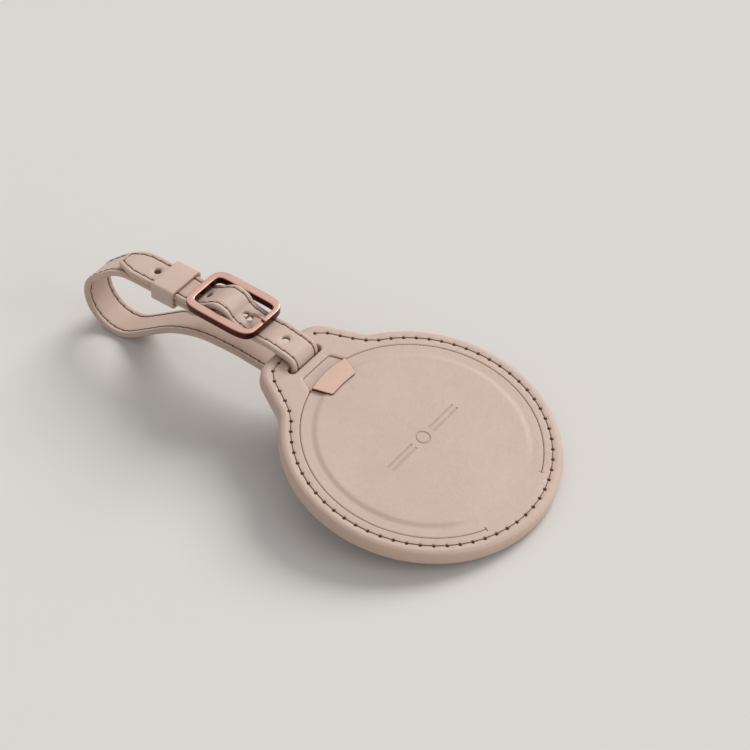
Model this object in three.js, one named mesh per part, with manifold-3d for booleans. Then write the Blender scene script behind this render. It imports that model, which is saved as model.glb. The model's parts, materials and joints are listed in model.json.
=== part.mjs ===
// Leather tracker tag on a buckled strap, in millimetres.
//
// Everything is drawn in the tag's own frame first: the front face lies in Z = 0 facing +Z, the disc's
// centre is the origin and the neck points along +Y. At the end the whole assembly is tilted about X so
// that it stands on the disc's far rim and on the bottom of the strap's loop, with +Z up.
import * as THREE from 'three';
import { mergeVertices } from 'three/addons/utils/BufferGeometryUtils.js';
import Module from 'manifold-3d';

const wasm = await Module();
wasm.setup();

// ---- driving dimensions -------------------------------------------------------------------------
const TAG_THICKNESS = 4.8;
const PANEL_THICKNESS = 1.15;
const GLUE_GAP = 0.05;
const EDGE_ROUNDING = 1.5;

const SEAM_RADIUS = 34;
const SEAM_MARGIN = 2.9;
const NECK_LEAVES_AT_DEG = 33.4;
const NECK_FILLET = 10.1;
const NECK_SLANT_DEG = 28;
const NECK_CORNER = 5;
const NECK_SEAM_TOP = 42.8;

const SLOT_Y = 38.6;
const SLOT_HEIGHT = 2.4;
const SLOT_HALF_LENGTH = 6.4;

const FLAP_RADIUS = 31.5;
const SLIT_GAP = 0.25;
const HINGE_Y = -29.4;
const PLATEAU_HEIGHT = 0.42;
const PLATEAU_FOOT_RADIUS = 28.75;
const PLATEAU_TOP_RADIUS = 27.25;
const PLATEAU_FOOT_Y = -27;
const PLATEAU_TOP_Y = -20;

const NOTCH_TOP = 34.85;
const NOTCH_TOP_HALF = 6;
const NOTCH_FOOT_HALF = 7.1;
const NOTCH_FOOT_Y = 31.5;
const TONGUE_THICKNESS = 0.8;
const TONGUE_STEP = 0.7;
const TONGUE_LOW = 27.5;
const TONGUE_GAP = 0.12;
const PATCH_TOP = 0.92;
const PATCH_REACH_DEG = 13;

const MODULE_RADIUS = 23;
const MODULE_CLEARANCE = 0.4;
const CARD_RADIUS = 26;
const SHEET_THICKNESS = 0.2;
const SHELL_WALL = 0.35;

const STRAP_HALF_WIDTH = 5.05;
const STRAP_HALF = 0.8;
const SKIVED_HALF = 0.5;
const STRAP_EDGE_CHAMFER = 0.3;
const STRAP_SEAM_X = 3.55;
const SEAM_HALF_WIDTH = 0.25;
const SEAM_LIFT = 0.02;
const SEAM_THICKNESS = 0.15;
const HOLE_RADIUS = 0.95;
const LOOP_END = { y: 98.3, z: -23, radius: 9.4 };

const BAR_Y = 63.4;
const BAR_Z = 0.92;
const BAR_RADIUS = 0.6;
const FOLD_RADIUS = 1.2;

const FRAME_Y = 63.02;
const FRAME_TOP_Z = 3.13;
const FRAME_SLOPE_DEG = -8.1;
const FRAME_THICKNESS = 2.3;
const FRAME_HALF = [8.15, 11.27];
const FRAME_SHIFT = -0.25;
const WINDOW_HALF = [5.7, 9.6];
const WINDOW_SHIFT = -0.5;
const FRAME_POWER = 5.5;
const WINDOW_POWER = 9;

const KEEPER_MIDDLE = 81.65;
const KEEPER_LENGTH = 7.4;
const KEEPER_WALL = 0.9;

const BACK_Z = -TAG_THICKNESS;
const FLAP_UNDER = -PANEL_THICKNESS;
const CORE_TOP = FLAP_UNDER - GLUE_GAP;
const BACK_TOP = BACK_Z + PANEL_THICKNESS;
const CORE_UNDER = BACK_TOP + GLUE_GAP;
const WINDOW_UNDER = CORE_TOP - SHEET_THICKNESS;
const CARD_TOP = WINDOW_UNDER - GLUE_GAP;
const CARD_UNDER = CARD_TOP - SHEET_THICKNESS;
const MODULE_TOP = CARD_UNDER - GLUE_GAP;
const MODULE_UNDER = CORE_UNDER;

// ---- materials ----------------------------------------------------------------------------------
const LEATHER = { color: 0xd0b4a8, roughness: 0.62, metalness: 0 };
const TAN_LEATHER = { color: 0xd9b6a0, roughness: 0.6, metalness: 0 };
const EDGE_LEATHER = { color: 0xb89e8e, roughness: 0.55, metalness: 0 };
const THREAD = { color: 0x5f3d33, roughness: 0.8, metalness: 0 };
const ROSE_METAL = { color: 0xd29f8a, roughness: 0.25, metalness: 1 };
const SHELL_PLASTIC = { color: 0xe9e6e1, roughness: 0.45, metalness: 0 };
const DARK_PLASTIC = { color: 0x3a3a3d, roughness: 0.5, metalness: 0 };
const BOARD = { color: 0x24543d, roughness: 0.5, metalness: 0.1 };
const STEEL = { color: 0xb9bcc0, roughness: 0.3, metalness: 1 };
const COPPER = { color: 0xb8703f, roughness: 0.35, metalness: 1 };
const PAPER = { color: 0xf1ece2, roughness: 0.85, metalness: 0 };
const CLEAR = { color: 0xdfe7ea, roughness: 0.1, metalness: 0, transparent: true, opacity: 0.35 };

// ---- small tools --------------------------------------------------------------------------------
const radians = (degrees) => (degrees * Math.PI) / 180;

function toManifold(geometry) {
  const bare = new THREE.BufferGeometry();
  bare.setAttribute('position', geometry.getAttribute('position'));
  if (geometry.index) bare.setIndex(geometry.index);
  const merged = mergeVertices(bare, 1e-4);
  const vertProperties = new Float32Array(merged.getAttribute('position').array);
  const triVerts = new Uint32Array(merged.index.array);
  return new wasm.Manifold(new wasm.Mesh({ numProp: 3, vertProperties, triVerts }));
}

function toGeometry(manifold) {
  const mesh = manifold.getMesh();
  const geometry = new THREE.BufferGeometry();
  const positions = new Float32Array(mesh.numVert * 3);
  for (let i = 0; i < mesh.numVert; i += 1) {
    for (let k = 0; k < 3; k += 1) positions[3 * i + k] = mesh.vertProperties[mesh.numProp * i + k];
  }
  geometry.setAttribute('position', new THREE.BufferAttribute(positions, 3));
  geometry.setIndex(Array.from(mesh.triVerts));
  return geometry;
}

// Joins and cuts: the first solid, with `added` joined on and `removed` cut away.
function carve(base, removed = [], added = []) {
  let result = toManifold(base);
  for (const piece of added) result = result.add(toManifold(piece));
  for (const piece of removed) result = result.subtract(toManifold(piece));
  return toGeometry(result);
}

function shapeOf(points, holes = []) {
  const shape = new THREE.Shape(points);
  for (const hole of holes) shape.holes.push(new THREE.Path(hole));
  return shape;
}

// A flat plate between two heights, from an outline in XY.
function plate(shape, zLow, zHigh) {
  const geometry = new THREE.ExtrudeGeometry(shape, { depth: zHigh - zLow, bevelEnabled: false });
  geometry.translate(0, 0, zLow);
  return geometry;
}

function circle(radius, count, x = 0, y = 0) {
  const points = [];
  for (let i = 0; i < count; i += 1) {
    const angle = (2 * Math.PI * i) / count;
    points.push(new THREE.Vector2(x + radius * Math.cos(angle), y + radius * Math.sin(angle)));
  }
  return points;
}

function disc(radius, count, zLow, zHigh, x = 0, y = 0) {
  return plate(shapeOf(circle(radius, count, x, y)), zLow, zHigh);
}

function box(x, y, z, width, depth, height) {
  const geometry = new THREE.BoxGeometry(width, depth, height);
  geometry.translate(x, y, z);
  return geometry;
}

// Points on an arc, angles measured anticlockwise from +X.
function arc(x, y, radius, fromDeg, toDeg, count) {
  const points = [];
  for (let i = 0; i <= count; i += 1) {
    const angle = radians(fromDeg + ((toDeg - fromDeg) * i) / count);
    points.push(new THREE.Vector2(x + radius * Math.cos(angle), y + radius * Math.sin(angle)));
  }
  return points;
}

// Closed skin over rings of equal point counts; each end is closed by a fan about its middle.
function loft(rings) {
  const count = rings[0].length;
  const positions = [];
  const index = [];
  for (const ring of rings) for (const point of ring) positions.push(point.x, point.y, point.z);
  for (let r = 0; r + 1 < rings.length; r += 1) {
    for (let i = 0; i < count; i += 1) {
      const a = r * count + i;
      const b = r * count + ((i + 1) % count);
      index.push(a, b, a + count, b, b + count, a + count);
    }
  }
  for (const [r, flip] of [[0, true], [rings.length - 1, false]]) {
    const middle = new THREE.Vector3();
    for (const point of rings[r]) middle.addScaledVector(point, 1 / count);
    positions.push(middle.x, middle.y, middle.z);
    const hub = positions.length / 3 - 1;
    for (let i = 0; i < count; i += 1) {
      const a = r * count + i;
      const b = r * count + ((i + 1) % count);
      if (flip) index.push(hub, b, a);
      else index.push(hub, a, b);
    }
  }
  const geometry = new THREE.BufferGeometry();
  geometry.setAttribute('position', new THREE.Float32BufferAttribute(positions, 3));
  geometry.setIndex(index);
  return geometry;
}

// Closed ring-shaped skin: the rings follow each other round and the last joins the first.
function loopLoft(rings) {
  const count = rings[0].length;
  const positions = [];
  const index = [];
  for (const ring of rings) for (const point of ring) positions.push(point.x, point.y, point.z);
  for (let r = 0; r < rings.length; r += 1) {
    const next = (r + 1) % rings.length;
    for (let i = 0; i < count; i += 1) {
      const j = (i + 1) % count;
      const a = r * count + i;
      const b = r * count + j;
      const c = next * count + i;
      const d = next * count + j;
      index.push(a, b, c, b, d, c);
    }
  }
  const geometry = new THREE.BufferGeometry();
  geometry.setAttribute('position', new THREE.Float32BufferAttribute(positions, 3));
  geometry.setIndex(index);
  return geometry;
}

// ---- the tag's outline --------------------------------------------------------------------------
// The outline at a distance outside the seam line: a disc running into a slanted neck with soft corners.
function tagOutline(offset) {
  const leave = radians(NECK_LEAVES_AT_DEG);
  const filletX = (SEAM_RADIUS + NECK_FILLET) * Math.sin(leave);
  const filletY = (SEAM_RADIUS + NECK_FILLET) * Math.cos(leave);
  const across = new THREE.Vector2(Math.cos(radians(NECK_SLANT_DEG)), Math.sin(radians(NECK_SLANT_DEG)));
  const sideX = filletX - NECK_FILLET * across.x;
  const sideY = filletY - NECK_FILLET * across.y;
  const cornerY = NECK_SEAM_TOP - NECK_CORNER;
  const cornerX = sideX - ((cornerY - sideY) * across.y + NECK_CORNER) / across.x;
  const half = [
    ...arc(0, 0, SEAM_RADIUS + offset, -90, 90 - NECK_LEAVES_AT_DEG, 44),
    ...arc(filletX, filletY, NECK_FILLET - offset, 270 - NECK_LEAVES_AT_DEG, 180 + NECK_SLANT_DEG, 7).slice(1),
    ...arc(cornerX, cornerY, NECK_CORNER + offset, NECK_SLANT_DEG, 90, 8),
  ];
  const mirrored = half.slice(1).reverse().map((point) => new THREE.Vector2(-point.x, point.y));
  return [...half, ...mirrored];
}

function slotOutline(grow = 0) {
  const radius = SLOT_HEIGHT / 2 + grow;
  const reach = SLOT_HALF_LENGTH - SLOT_HEIGHT / 2;
  return [...arc(reach, SLOT_Y, radius, -90, 90, 8), ...arc(-reach, SLOT_Y, radius, 90, 270, 8)];
}

// The rounded shoulder of a panel as rings from its face down to its glued side.
function shoulderRings(faceZ, towardsCore) {
  const turn = Math.acos(1 - PANEL_THICKNESS / EDGE_ROUNDING);
  const steps = 4;
  const rings = [];
  for (let i = 0; i <= steps; i += 1) {
    const angle = (turn * i) / steps;
    const inset = EDGE_ROUNDING * (1 - Math.sin(angle));
    const drop = EDGE_ROUNDING * (1 - Math.cos(angle));
    const z = faceZ + towardsCore * drop;
    rings.push(tagOutline(SEAM_MARGIN - inset).map((point) => new THREE.Vector3(point.x, point.y, z)));
  }
  return rings;
}

// A circle with its hinge side cut straight across.
function flapOutline(radius, chordY) {
  const reach = (Math.acos(-chordY / radius) * 180) / Math.PI;
  return arc(0, 0, radius, -90 + reach, 270 - reach, 96);
}

// The opening beside the tab, or a piece that fits it, reaching down under the flap to a given level.
function notchOutline(shrink, lowY) {
  const corner = 1;
  const top = NOTCH_TOP - shrink;
  const half = NOTCH_TOP_HALF - shrink;
  const foot = NOTCH_FOOT_HALF - shrink;
  return [
    new THREE.Vector2(-foot, lowY),
    new THREE.Vector2(foot, lowY),
    new THREE.Vector2(foot, NOTCH_FOOT_Y - 0.5),
    ...arc(half - corner, top - corner, corner, 20, 90, 4),
    ...arc(-half + corner, top - corner, corner, 90, 160, 4),
    new THREE.Vector2(-foot, NOTCH_FOOT_Y - 0.5),
  ];
}

// ---- the tag's leather --------------------------------------------------------------------------
function seamRope(radius, sides) {
  const line = tagOutline(0);
  const rings = line.map((point, i) => {
    const before = line[(i + line.length - 1) % line.length];
    const after = line[(i + 1) % line.length];
    const out = new THREE.Vector2(after.y - before.y, before.x - after.x).normalize();
    const ring = [];
    for (let k = 0; k < sides; k += 1) {
      const angle = (2 * Math.PI * (k + 0.5)) / sides;
      const reach = radius * Math.cos(angle);
      ring.push(new THREE.Vector3(point.x + out.x * reach, point.y + out.y * reach,
        radius * Math.sin(angle) - 0.1));
    }
    return ring.reverse();
  });
  return loopLoft(rings);
}

function frontPanel() {
  const skin = loft(shoulderRings(0, -1).reverse());
  const opening = plate(shapeOf(flapOutline(FLAP_RADIUS + SLIT_GAP, HINGE_Y - 0.1)), -2, 1);
  const notch = plate(shapeOf(notchOutline(0, NOTCH_FOOT_Y - 2)), -2, 1);
  const slot = plate(shapeOf(slotOutline()), -2, 1);
  return carve(skin, [opening, notch, slot, seamRope(0.36, 6)]);
}

// The flap's raised middle: its edge slopes, and the slope is long on the hinge side.
function flapPlateau(lift) {
  const ring = (radius, chordY, z) => flapOutline(radius, chordY).map(
    (point) => new THREE.Vector3(point.x, point.y, z + lift));
  return loft([ring(PLATEAU_FOOT_RADIUS + 0.36, PLATEAU_FOOT_Y - 1.7, -0.1),
    ring(PLATEAU_TOP_RADIUS, PLATEAU_TOP_Y, PLATEAU_HEIGHT)]);
}

// A plain ornament pressed into the flap: a small ring between two pairs of short rules.
function flapOrnament(faceZ) {
  const depth = 0.18;
  const ring = plate(shapeOf(circle(2.1, 32), [circle(1.55, 32)]), faceZ - depth, 1);
  const cuts = [ring];
  for (const side of [-1, 1]) {
    for (const level of [-0.75, 0.75]) cuts.push(box(side * 9, level, faceZ + 0.5 - depth, 10.5, 0.5, 1));
  }
  return cuts;
}

function frontFlap() {
  const sheet = plate(shapeOf(flapOutline(FLAP_RADIUS, HINGE_Y + 0.1)), FLAP_UNDER, 0);
  return carve(sheet, flapOrnament(PLATEAU_HEIGHT), [flapPlateau(0)]);
}

// Glued under the flap, with a step up where it shows beside the flap's edge.
function tabTongue() {
  const low = plate(shapeOf(notchOutline(TONGUE_GAP, TONGUE_LOW)), CORE_TOP - TONGUE_THICKNESS, CORE_TOP);
  const shown = plate(shapeOf(notchOutline(TONGUE_GAP, NOTCH_FOOT_Y - 1)), CORE_TOP - 0.1, CORE_TOP + TONGUE_STEP);
  const step = carve(shown, [disc(FLAP_RADIUS + 0.3, 96, -3, 1)]);
  return carve(low, [], [step]);
}

// Flat on top; its underside follows the step in the flap.
function tabPatch() {
  const outline = [
    ...arc(0, 0, FLAP_RADIUS - 0.1, 90 - PATCH_REACH_DEG, 90 + PATCH_REACH_DEG, 12),
    ...arc(-4.35, 26.5, 1, 200, 270, 5),
    new THREE.Vector2(0, 25.75),
    ...arc(4.35, 26.5, 1, -90, -20, 5),
  ];
  return carve(plate(shapeOf(outline), GLUE_GAP, PATCH_TOP), [flapPlateau(GLUE_GAP)]);
}

function coreFrame() {
  const slab = plate(shapeOf(tagOutline(SEAM_MARGIN - 0.03)), CORE_UNDER, CORE_TOP);
  const cavity = disc(MODULE_RADIUS + MODULE_CLEARANCE, 72, CORE_UNDER - 1, CORE_TOP + 1);
  const rebate = disc(CARD_RADIUS + MODULE_CLEARANCE, 72, MODULE_TOP, CORE_TOP + 1);
  const pocketFloor = CORE_TOP - TONGUE_THICKNESS - 0.2;
  const pocket = plate(shapeOf(notchOutline(0, TONGUE_LOW - 2)), pocketFloor, CORE_TOP + 0.7);
  const slot = plate(shapeOf(slotOutline()), CORE_UNDER - 1, CORE_TOP + 1);
  return carve(slab, [cavity, rebate, pocket, slot]);
}

function backPanel() {
  const skin = loft(shoulderRings(BACK_Z, 1));
  return carve(skin, [plate(shapeOf(slotOutline()), BACK_Z - 1, BACK_TOP + 1)]);
}

// ---- the tracker under the flap -----------------------------------------------------------------
const BUTTON_Y = 14;
const LIGHT_Y = 19;

function coverSheet(zLow, zHigh) {
  const holes = [circle(3.4, 28, 0, BUTTON_Y), circle(1.2, 16, 0, LIGHT_Y)];
  return plate(shapeOf(circle(CARD_RADIUS, 72), holes), zLow, zHigh);
}

function upperShell() {
  const soundHoles = [];
  for (let i = 0; i < 5; i += 1) soundHoles.push(circle(0.45, 10, 13 + 1.6 * (i % 3) - 1.6, 2 * (i - 2)));
  const holes = [circle(2.9, 28, 0, BUTTON_Y), circle(0.9, 16, 0, LIGHT_Y), ...soundHoles];
  return plate(shapeOf(circle(MODULE_RADIUS, 72), holes), MODULE_TOP - SHELL_WALL, MODULE_TOP);
}

function lowerShell() {
  const inner = MODULE_RADIUS - 0.8;
  const floor = MODULE_UNDER + SHELL_WALL;
  const rimTop = MODULE_TOP - SHELL_WALL - GLUE_GAP;
  const profile = [
    [0, MODULE_UNDER],
    [MODULE_RADIUS, MODULE_UNDER],
    [MODULE_RADIUS, rimTop],
    [inner, rimTop],
    [inner, floor],
    [0, floor],
  ];
  const geometry = new THREE.LatheGeometry(profile.map(([r, z]) => new THREE.Vector2(r, z)), 72);
  geometry.rotateX(Math.PI / 2);
  return toGeometry(toManifold(geometry));
}

const FLOOR_Z = MODULE_UNDER + SHELL_WALL + GLUE_GAP;
const CEILING_Z = MODULE_TOP - SHELL_WALL - GLUE_GAP;
const BOARD_THICKNESS = 0.4;
const BOARD_TOP = FLOOR_Z + BOARD_THICKNESS;
const PART_Z = BOARD_TOP + GLUE_GAP;
const CELL_X = -8;
const CELL_Y = -6;
const CELL_RADIUS = 10;

function circuitBoard() {
  const hole = circle(CELL_RADIUS + 0.6, 48, CELL_X, CELL_Y);
  return plate(shapeOf(circle(MODULE_RADIUS - 1.3, 64), [hole]), FLOOR_Z, BOARD_TOP);
}

function chargingCoil() {
  const coil = shapeOf(circle(CELL_RADIUS - 0.5, 48, CELL_X, CELL_Y), [circle(4.5, 36, CELL_X, CELL_Y)]);
  return plate(coil, FLOOR_Z, FLOOR_Z + 0.15);
}

function ferriteSheet() {
  return disc(CELL_RADIUS - 0.3, 48, FLOOR_Z + 0.2, FLOOR_Z + 0.3, CELL_X, CELL_Y);
}

function batteryCell() {
  return disc(CELL_RADIUS, 48, FLOOR_Z + 0.35, CEILING_Z, CELL_X, CELL_Y);
}

function radioCan() {
  return box(8, -12, (PART_Z + CEILING_Z) / 2, 9, 7, CEILING_Z - PART_Z);
}

function soundDisc() {
  return disc(5.5, 40, PART_Z, PART_Z + 0.3, 13.2, 0);
}

function radioAntenna() {
  const outline = [...arc(0, 0, 21, 105, 170, 20), ...arc(0, 0, 19.8, 170, 105, 20)];
  return plate(shapeOf(outline), PART_Z, PART_Z + 0.2);
}

function domeSwitch() {
  return disc(2.4, 28, PART_Z, PART_Z + 0.2, 0, BUTTON_Y);
}

function buttonCap() {
  return disc(2.6, 28, PART_Z + 0.45, MODULE_TOP + 0.2, 0, BUTTON_Y);
}

function lightPipe() {
  return disc(0.6, 16, PART_Z, MODULE_TOP + 0.1, 0, LIGHT_Y);
}

// ---- the strap ----------------------------------------------------------------------------------
// Middle line of the strap in the YZ plane, from the folded tail round the bar, along the lower layer,
// round the loop, back under the neck, up through the slot and out to the tip.
function strapLine() {
  const fold = arc(BAR_Y, BAR_Z, FOLD_RADIUS, -110, -320, 10);
  const loopEnd = arc(LOOP_END.y, LOOP_END.z, LOOP_END.radius, 25, -132, 12);
  const underNeck = arc(41.2, -5.1, 2.6, -90, -180, 5);
  const overNeck = arc(41.2, -0.6, 2.6, 180, 90, 5);
  const tail = [[74, -5.45], [72.5, -5.05], [70.48, -3.98], [67.4, -1.8], [65.2, -0.9]];
  const lower = [[68.08, -0.81], [71, -2.92], [72.88, -3.85], [75.1, -4.39], [80.6, -5.33], [86.1, -6.26],
    [91.6, -7.2], [95, -7.9], [97.3, -8.85], [100.2, -10.9], [102.5, -13.4], [104.7, -16.2]];
  const branch = [[84.73, -22.87], [81.27, -19.4], [77.33, -16.15], [71.64, -12.71], [67.04, -10.86],
    [60.83, -9.38], [56.5, -8.6], [52.05, -8.2], [48.15, -7.8], [44.5, -7.7]];
  const upper = [[44.5, 2], [48, 1.95], [51.4, 1.25], [54, 1.1], [57.6, 1.1], [60.1, 1.75], [61.7, 3.05],
    [63.5, 3.55], [65.64, 3.1], [68.99, 0.28], [71.64, -1.6], [73.28, -2.3], [75.37, -2.74], [80.9, -3.68],
    [86.4, -4.61], [91.9, -5.54], [95.4, -6.25], [98.1, -7.35], [99.3, -8.05]];
  const asPoints = (list) => list.map(([y, z]) => new THREE.Vector2(y, z));
  return [
    ...asPoints(tail),
    ...fold,
    ...asPoints(lower),
    ...loopEnd,
    ...asPoints(branch),
    ...underNeck,
    new THREE.Vector2(38.6, -3.6),
    new THREE.Vector2(38.6, -2),
    ...overNeck,
    ...asPoints(upper),
  ];
}

// Evenly spaced stations along the strap with the way across it; `side` points to its outer face.
function strapStations() {
  const points = strapLine().map((point) => new THREE.Vector3(0, point.x, point.y));
  const curve = new THREE.CatmullRomCurve3(points, false, 'centripetal');
  curve.arcLengthDivisions = 4000;
  const total = curve.getLength();
  const stations = [];
  const count = 190;
  for (let i = 0; i <= count; i += 1) {
    const at = curve.getPointAt(i / count);
    const along = curve.getTangentAt(i / count);
    const side = new THREE.Vector3(0, -along.z, along.y);
    stations.push({ at, side, run: (total * i) / count, left: total * (1 - i / count) });
  }
  return stations;
}

const SKIVED_RUN = 23;
const SKIVE_TAPER = 8;
const TIP_RUN = 5.6;
const TIP_HALF_WIDTH = 2.3;

function strapHalfThickness(run) {
  const blend = Math.min(1, Math.max(0, (run - SKIVED_RUN) / SKIVE_TAPER));
  return SKIVED_HALF + (STRAP_HALF - SKIVED_HALF) * blend;
}

function strapHalfWidth(left) {
  const blend = Math.min(1, left / TIP_RUN);
  return TIP_HALF_WIDTH + (STRAP_HALF_WIDTH - TIP_HALF_WIDTH) * blend;
}

function crossSection(station, corners) {
  return corners.map(([x, n]) => station.at.clone().addScaledVector(station.side, n).setX(station.at.x + x)).reverse();
}

function strapSkin(stations) {
  const rings = stations.map((station) => {
    const thick = strapHalfThickness(station.run);
    const wide = strapHalfWidth(station.left);
    const c = STRAP_EDGE_CHAMFER;
    const corners = [[wide, -thick + c], [wide, thick - c], [wide - c, thick], [-wide + c, thick],
      [-wide, thick - c], [-wide, -thick + c], [-wide + c, -thick], [wide - c, -thick]];
    return crossSection(station, corners);
  });
  return loft(rings);
}

// The station nearest a point, among those on the tip side of the slot.
function tipStationAt(stations, y) {
  const tipSide = stations.filter((station) => station.run > 0.55 * stations.at(-1).run && station.at.z > -8);
  return tipSide.reduce((best, s) => (Math.abs(s.at.y - y) < Math.abs(best.at.y - y) ? s : best));
}

function holePunch(station, halfLength) {
  const outline = [
    ...arc(0, halfLength, HOLE_RADIUS, 0, 180, 8),
    ...arc(0, -halfLength, HOLE_RADIUS, 180, 360, 8),
  ];
  const punch = plate(shapeOf(outline), -1.1, 1.1);
  punch.rotateX(Math.atan2(station.side.z, station.side.y) - Math.PI / 2);
  punch.translate(station.at.x, station.at.y, station.at.z);
  return punch;
}

const PRONG_HOLE_Y = 57.75;
const PLAIN_HOLES_Y = [45.2, 70.4, 87.9];

function strapBand(stations) {
  const cuts = PLAIN_HOLES_Y.map((y) => holePunch(tipStationAt(stations, y), 0.02));
  cuts.push(holePunch(tipStationAt(stations, PRONG_HOLE_Y), 0.7));
  cuts.push(box(0, BAR_Y - 0.1, BAR_Z - 0.1, 2.2, 4.3, 3.3));
  return carve(strapSkin(stations), cuts);
}

// Thread laid on the outer face, from where the loop leaves the tip to the tip's own end.
function strapSeam(stations, sign) {
  const start = stations.findIndex((s) => s.run > 50 && s.at.z < -12.5);
  const rings = stations.slice(start, -4).map((station) => {
    const middle = sign * Math.min(STRAP_SEAM_X, strapHalfWidth(station.left) - 1.3);
    const low = strapHalfThickness(station.run) + SEAM_LIFT;
    const high = low + SEAM_THICKNESS;
    const right = middle + SEAM_HALF_WIDTH;
    const left = middle - SEAM_HALF_WIDTH;
    const corners = [[right, low], [right, high], [left, high], [left, low]];
    return crossSection(station, corners);
  });
  return loft(rings);
}

// ---- keeper and buckle --------------------------------------------------------------------------
const STACK_SLOPE = Math.atan2(-2.8, 16.5);

function keeperLoop() {
  const room = 0.3;
  const inner = [STRAP_HALF_WIDTH + 0.15, 2 * STRAP_HALF + 0.03 + room];
  const outer = [inner[0] + KEEPER_WALL, inner[1] + KEEPER_WALL];
  const rounded = (half, corner) => [
    ...arc(half[0] - corner, half[1] - corner, corner, 0, 90, 5),
    ...arc(-half[0] + corner, half[1] - corner, corner, 90, 180, 5),
    ...arc(-half[0] + corner, -half[1] + corner, corner, 180, 270, 5),
    ...arc(half[0] - corner, -half[1] + corner, corner, 270, 360, 5),
  ];
  const ring = shapeOf(rounded(outer, 1.3), [rounded(inner, 0.4)]);
  const geometry = plate(ring, -KEEPER_LENGTH / 2, KEEPER_LENGTH / 2);
  geometry.rotateX(-Math.PI / 2 + STACK_SLOPE);
  geometry.translate(0, KEEPER_MIDDLE, -4.66);
  return geometry;
}

function superellipse(half, power, shift, count) {
  const points = [];
  for (let i = 0; i < count; i += 1) {
    const angle = (2 * Math.PI * i) / count;
    const c = Math.cos(angle);
    const s = Math.sin(angle);
    const reach = (Math.abs(c) ** power + Math.abs(s) ** power) ** (-1 / power);
    points.push(new THREE.Vector2(half[0] * reach * c, half[1] * reach * s + shift));
  }
  return points;
}

// Squashed ring profile, from outside to inside: how far across the rail, and how high.
const RAIL_PROFILE = [[0, -0.6], [0, 0.6], [0.14, 0.93], [0.3, 1], [0.7, 1], [0.86, 0.93], [1, 0.6],
  [1, -0.6], [0.84, -1], [0.16, -1]];

function buckleFrame() {
  const count = 96;
  const outside = superellipse(FRAME_HALF, FRAME_POWER, FRAME_SHIFT, count);
  const inside = superellipse(WINDOW_HALF, WINDOW_POWER, WINDOW_SHIFT, count);
  const rings = outside.map((point, i) => RAIL_PROFILE.map(([across, up]) => {
    const flat = point.clone().lerp(inside[i], across);
    return new THREE.Vector3(flat.x, flat.y, (up * FRAME_THICKNESS) / 2);
  }).reverse());
  const rail = loopLoft(rings);
  rail.rotateX(radians(FRAME_SLOPE_DEG));
  rail.translate(0, FRAME_Y, FRAME_TOP_Z - FRAME_THICKNESS / 2);
  const bosses = [];
  const bores = [];
  for (const side of [-1, 1]) {
    bosses.push(rodAcross(BAR_Y, BAR_Z, 1.15, side * 5.85, side * 7.6));
    bores.push(rodAcross(BAR_Y, BAR_Z, BAR_RADIUS + 0.06, side * 5.2, side * 7.1));
  }
  return carve(rail, bores, bosses);
}

function rodAcross(y, z, radius, xFrom, xTo) {
  const low = Math.min(xFrom, xTo);
  const high = Math.max(xFrom, xTo);
  const rod = disc(radius, 24, low, high);
  rod.rotateY(Math.PI / 2);
  rod.translate(0, y, z);
  return rod;
}

function buckleBar() {
  return rodAcross(BAR_Y, BAR_Z, BAR_RADIUS, -7, 7);
}

const PRONG_EYE_HALF_WIDTH = 0.75;
const PRONG_HALF_WIDTH = 0.45;
const PRONG_HALF_THICKNESS = 0.3;

function buckleProng() {
  const line = [[0, 62.5, 0.75], [0, 61.6, 0.2], [0.1, 60.3, -0.35], [0.2, 59.15, -0.35], [0.28, 58.45, 0.25],
    [0.3, 57.9, 1.2], [0.3, 57.3, 2.2], [0.28, 56.6, 3], [0.15, 55.8, 3.65], [0, 54.8, 4.15], [-0.25, 53.4, 4.74],
    [-0.5, 51.9, 5.06], [-0.55, 51.55, 5.11]];
  const spine = new THREE.CatmullRomCurve3(line.map((p) => new THREE.Vector3(...p)), false, 'centripetal');
  const rings = [];
  const steps = 30;
  for (let i = 0; i <= steps; i += 1) {
    const at = spine.getPointAt(i / steps);
    const along = spine.getTangentAt(i / steps);
    const side = new THREE.Vector3(0, -along.z, along.y);
    const thick = PRONG_HALF_THICKNESS;
    const wide = PRONG_HALF_WIDTH;
    const c = 0.1;
    rings.push(crossSection({ at, side }, [[wide, -thick + c], [wide, thick - c], [wide - c, thick],
      [-wide + c, thick], [-wide, thick - c], [-wide, -thick + c], [-wide + c, -thick], [wide - c, -thick]]));
  }
  const eye = rodAcross(BAR_Y, BAR_Z, 1.35, -PRONG_EYE_HALF_WIDTH, PRONG_EYE_HALF_WIDTH);
  const bore = rodAcross(BAR_Y, BAR_Z, BAR_RADIUS + 0.08, -2, 2);
  return carve(eye, [bore], [loft(rings)]);
}

// ---- assembly -----------------------------------------------------------------------------------
// The tilt that lets the loop's bottom and the disc's far rim touch one level floor.
function standingTilt() {
  const rim = { y: -(SEAM_RADIUS + SEAM_MARGIN - EDGE_ROUNDING), z: BACK_Z + EDGE_ROUNDING, r: EDGE_ROUNDING };
  const loop = { y: LOOP_END.y, z: LOOP_END.z, r: LOOP_END.radius + STRAP_HALF + SEAM_LIFT + SEAM_THICKNESS };
  let tilt = radians(10);
  for (let i = 0; i < 50; i += 1) {
    const height = (c) => c.y * Math.sin(tilt) + c.z * Math.cos(tilt) - c.r;
    tilt -= (height(loop) - height(rim)) / (loop.y - rim.y);
  }
  return tilt;
}

const assembly = new THREE.Group();

function add(name, geometry, look) {
  const bare = geometry.index ? geometry.toNonIndexed() : geometry;
  bare.deleteAttribute('normal');
  bare.deleteAttribute('uv');
  bare.computeVertexNormals();
  const mesh = new THREE.Mesh(bare, new THREE.MeshStandardMaterial(look));
  mesh.name = name;
  assembly.add(mesh);
}

const stations = strapStations();

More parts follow.
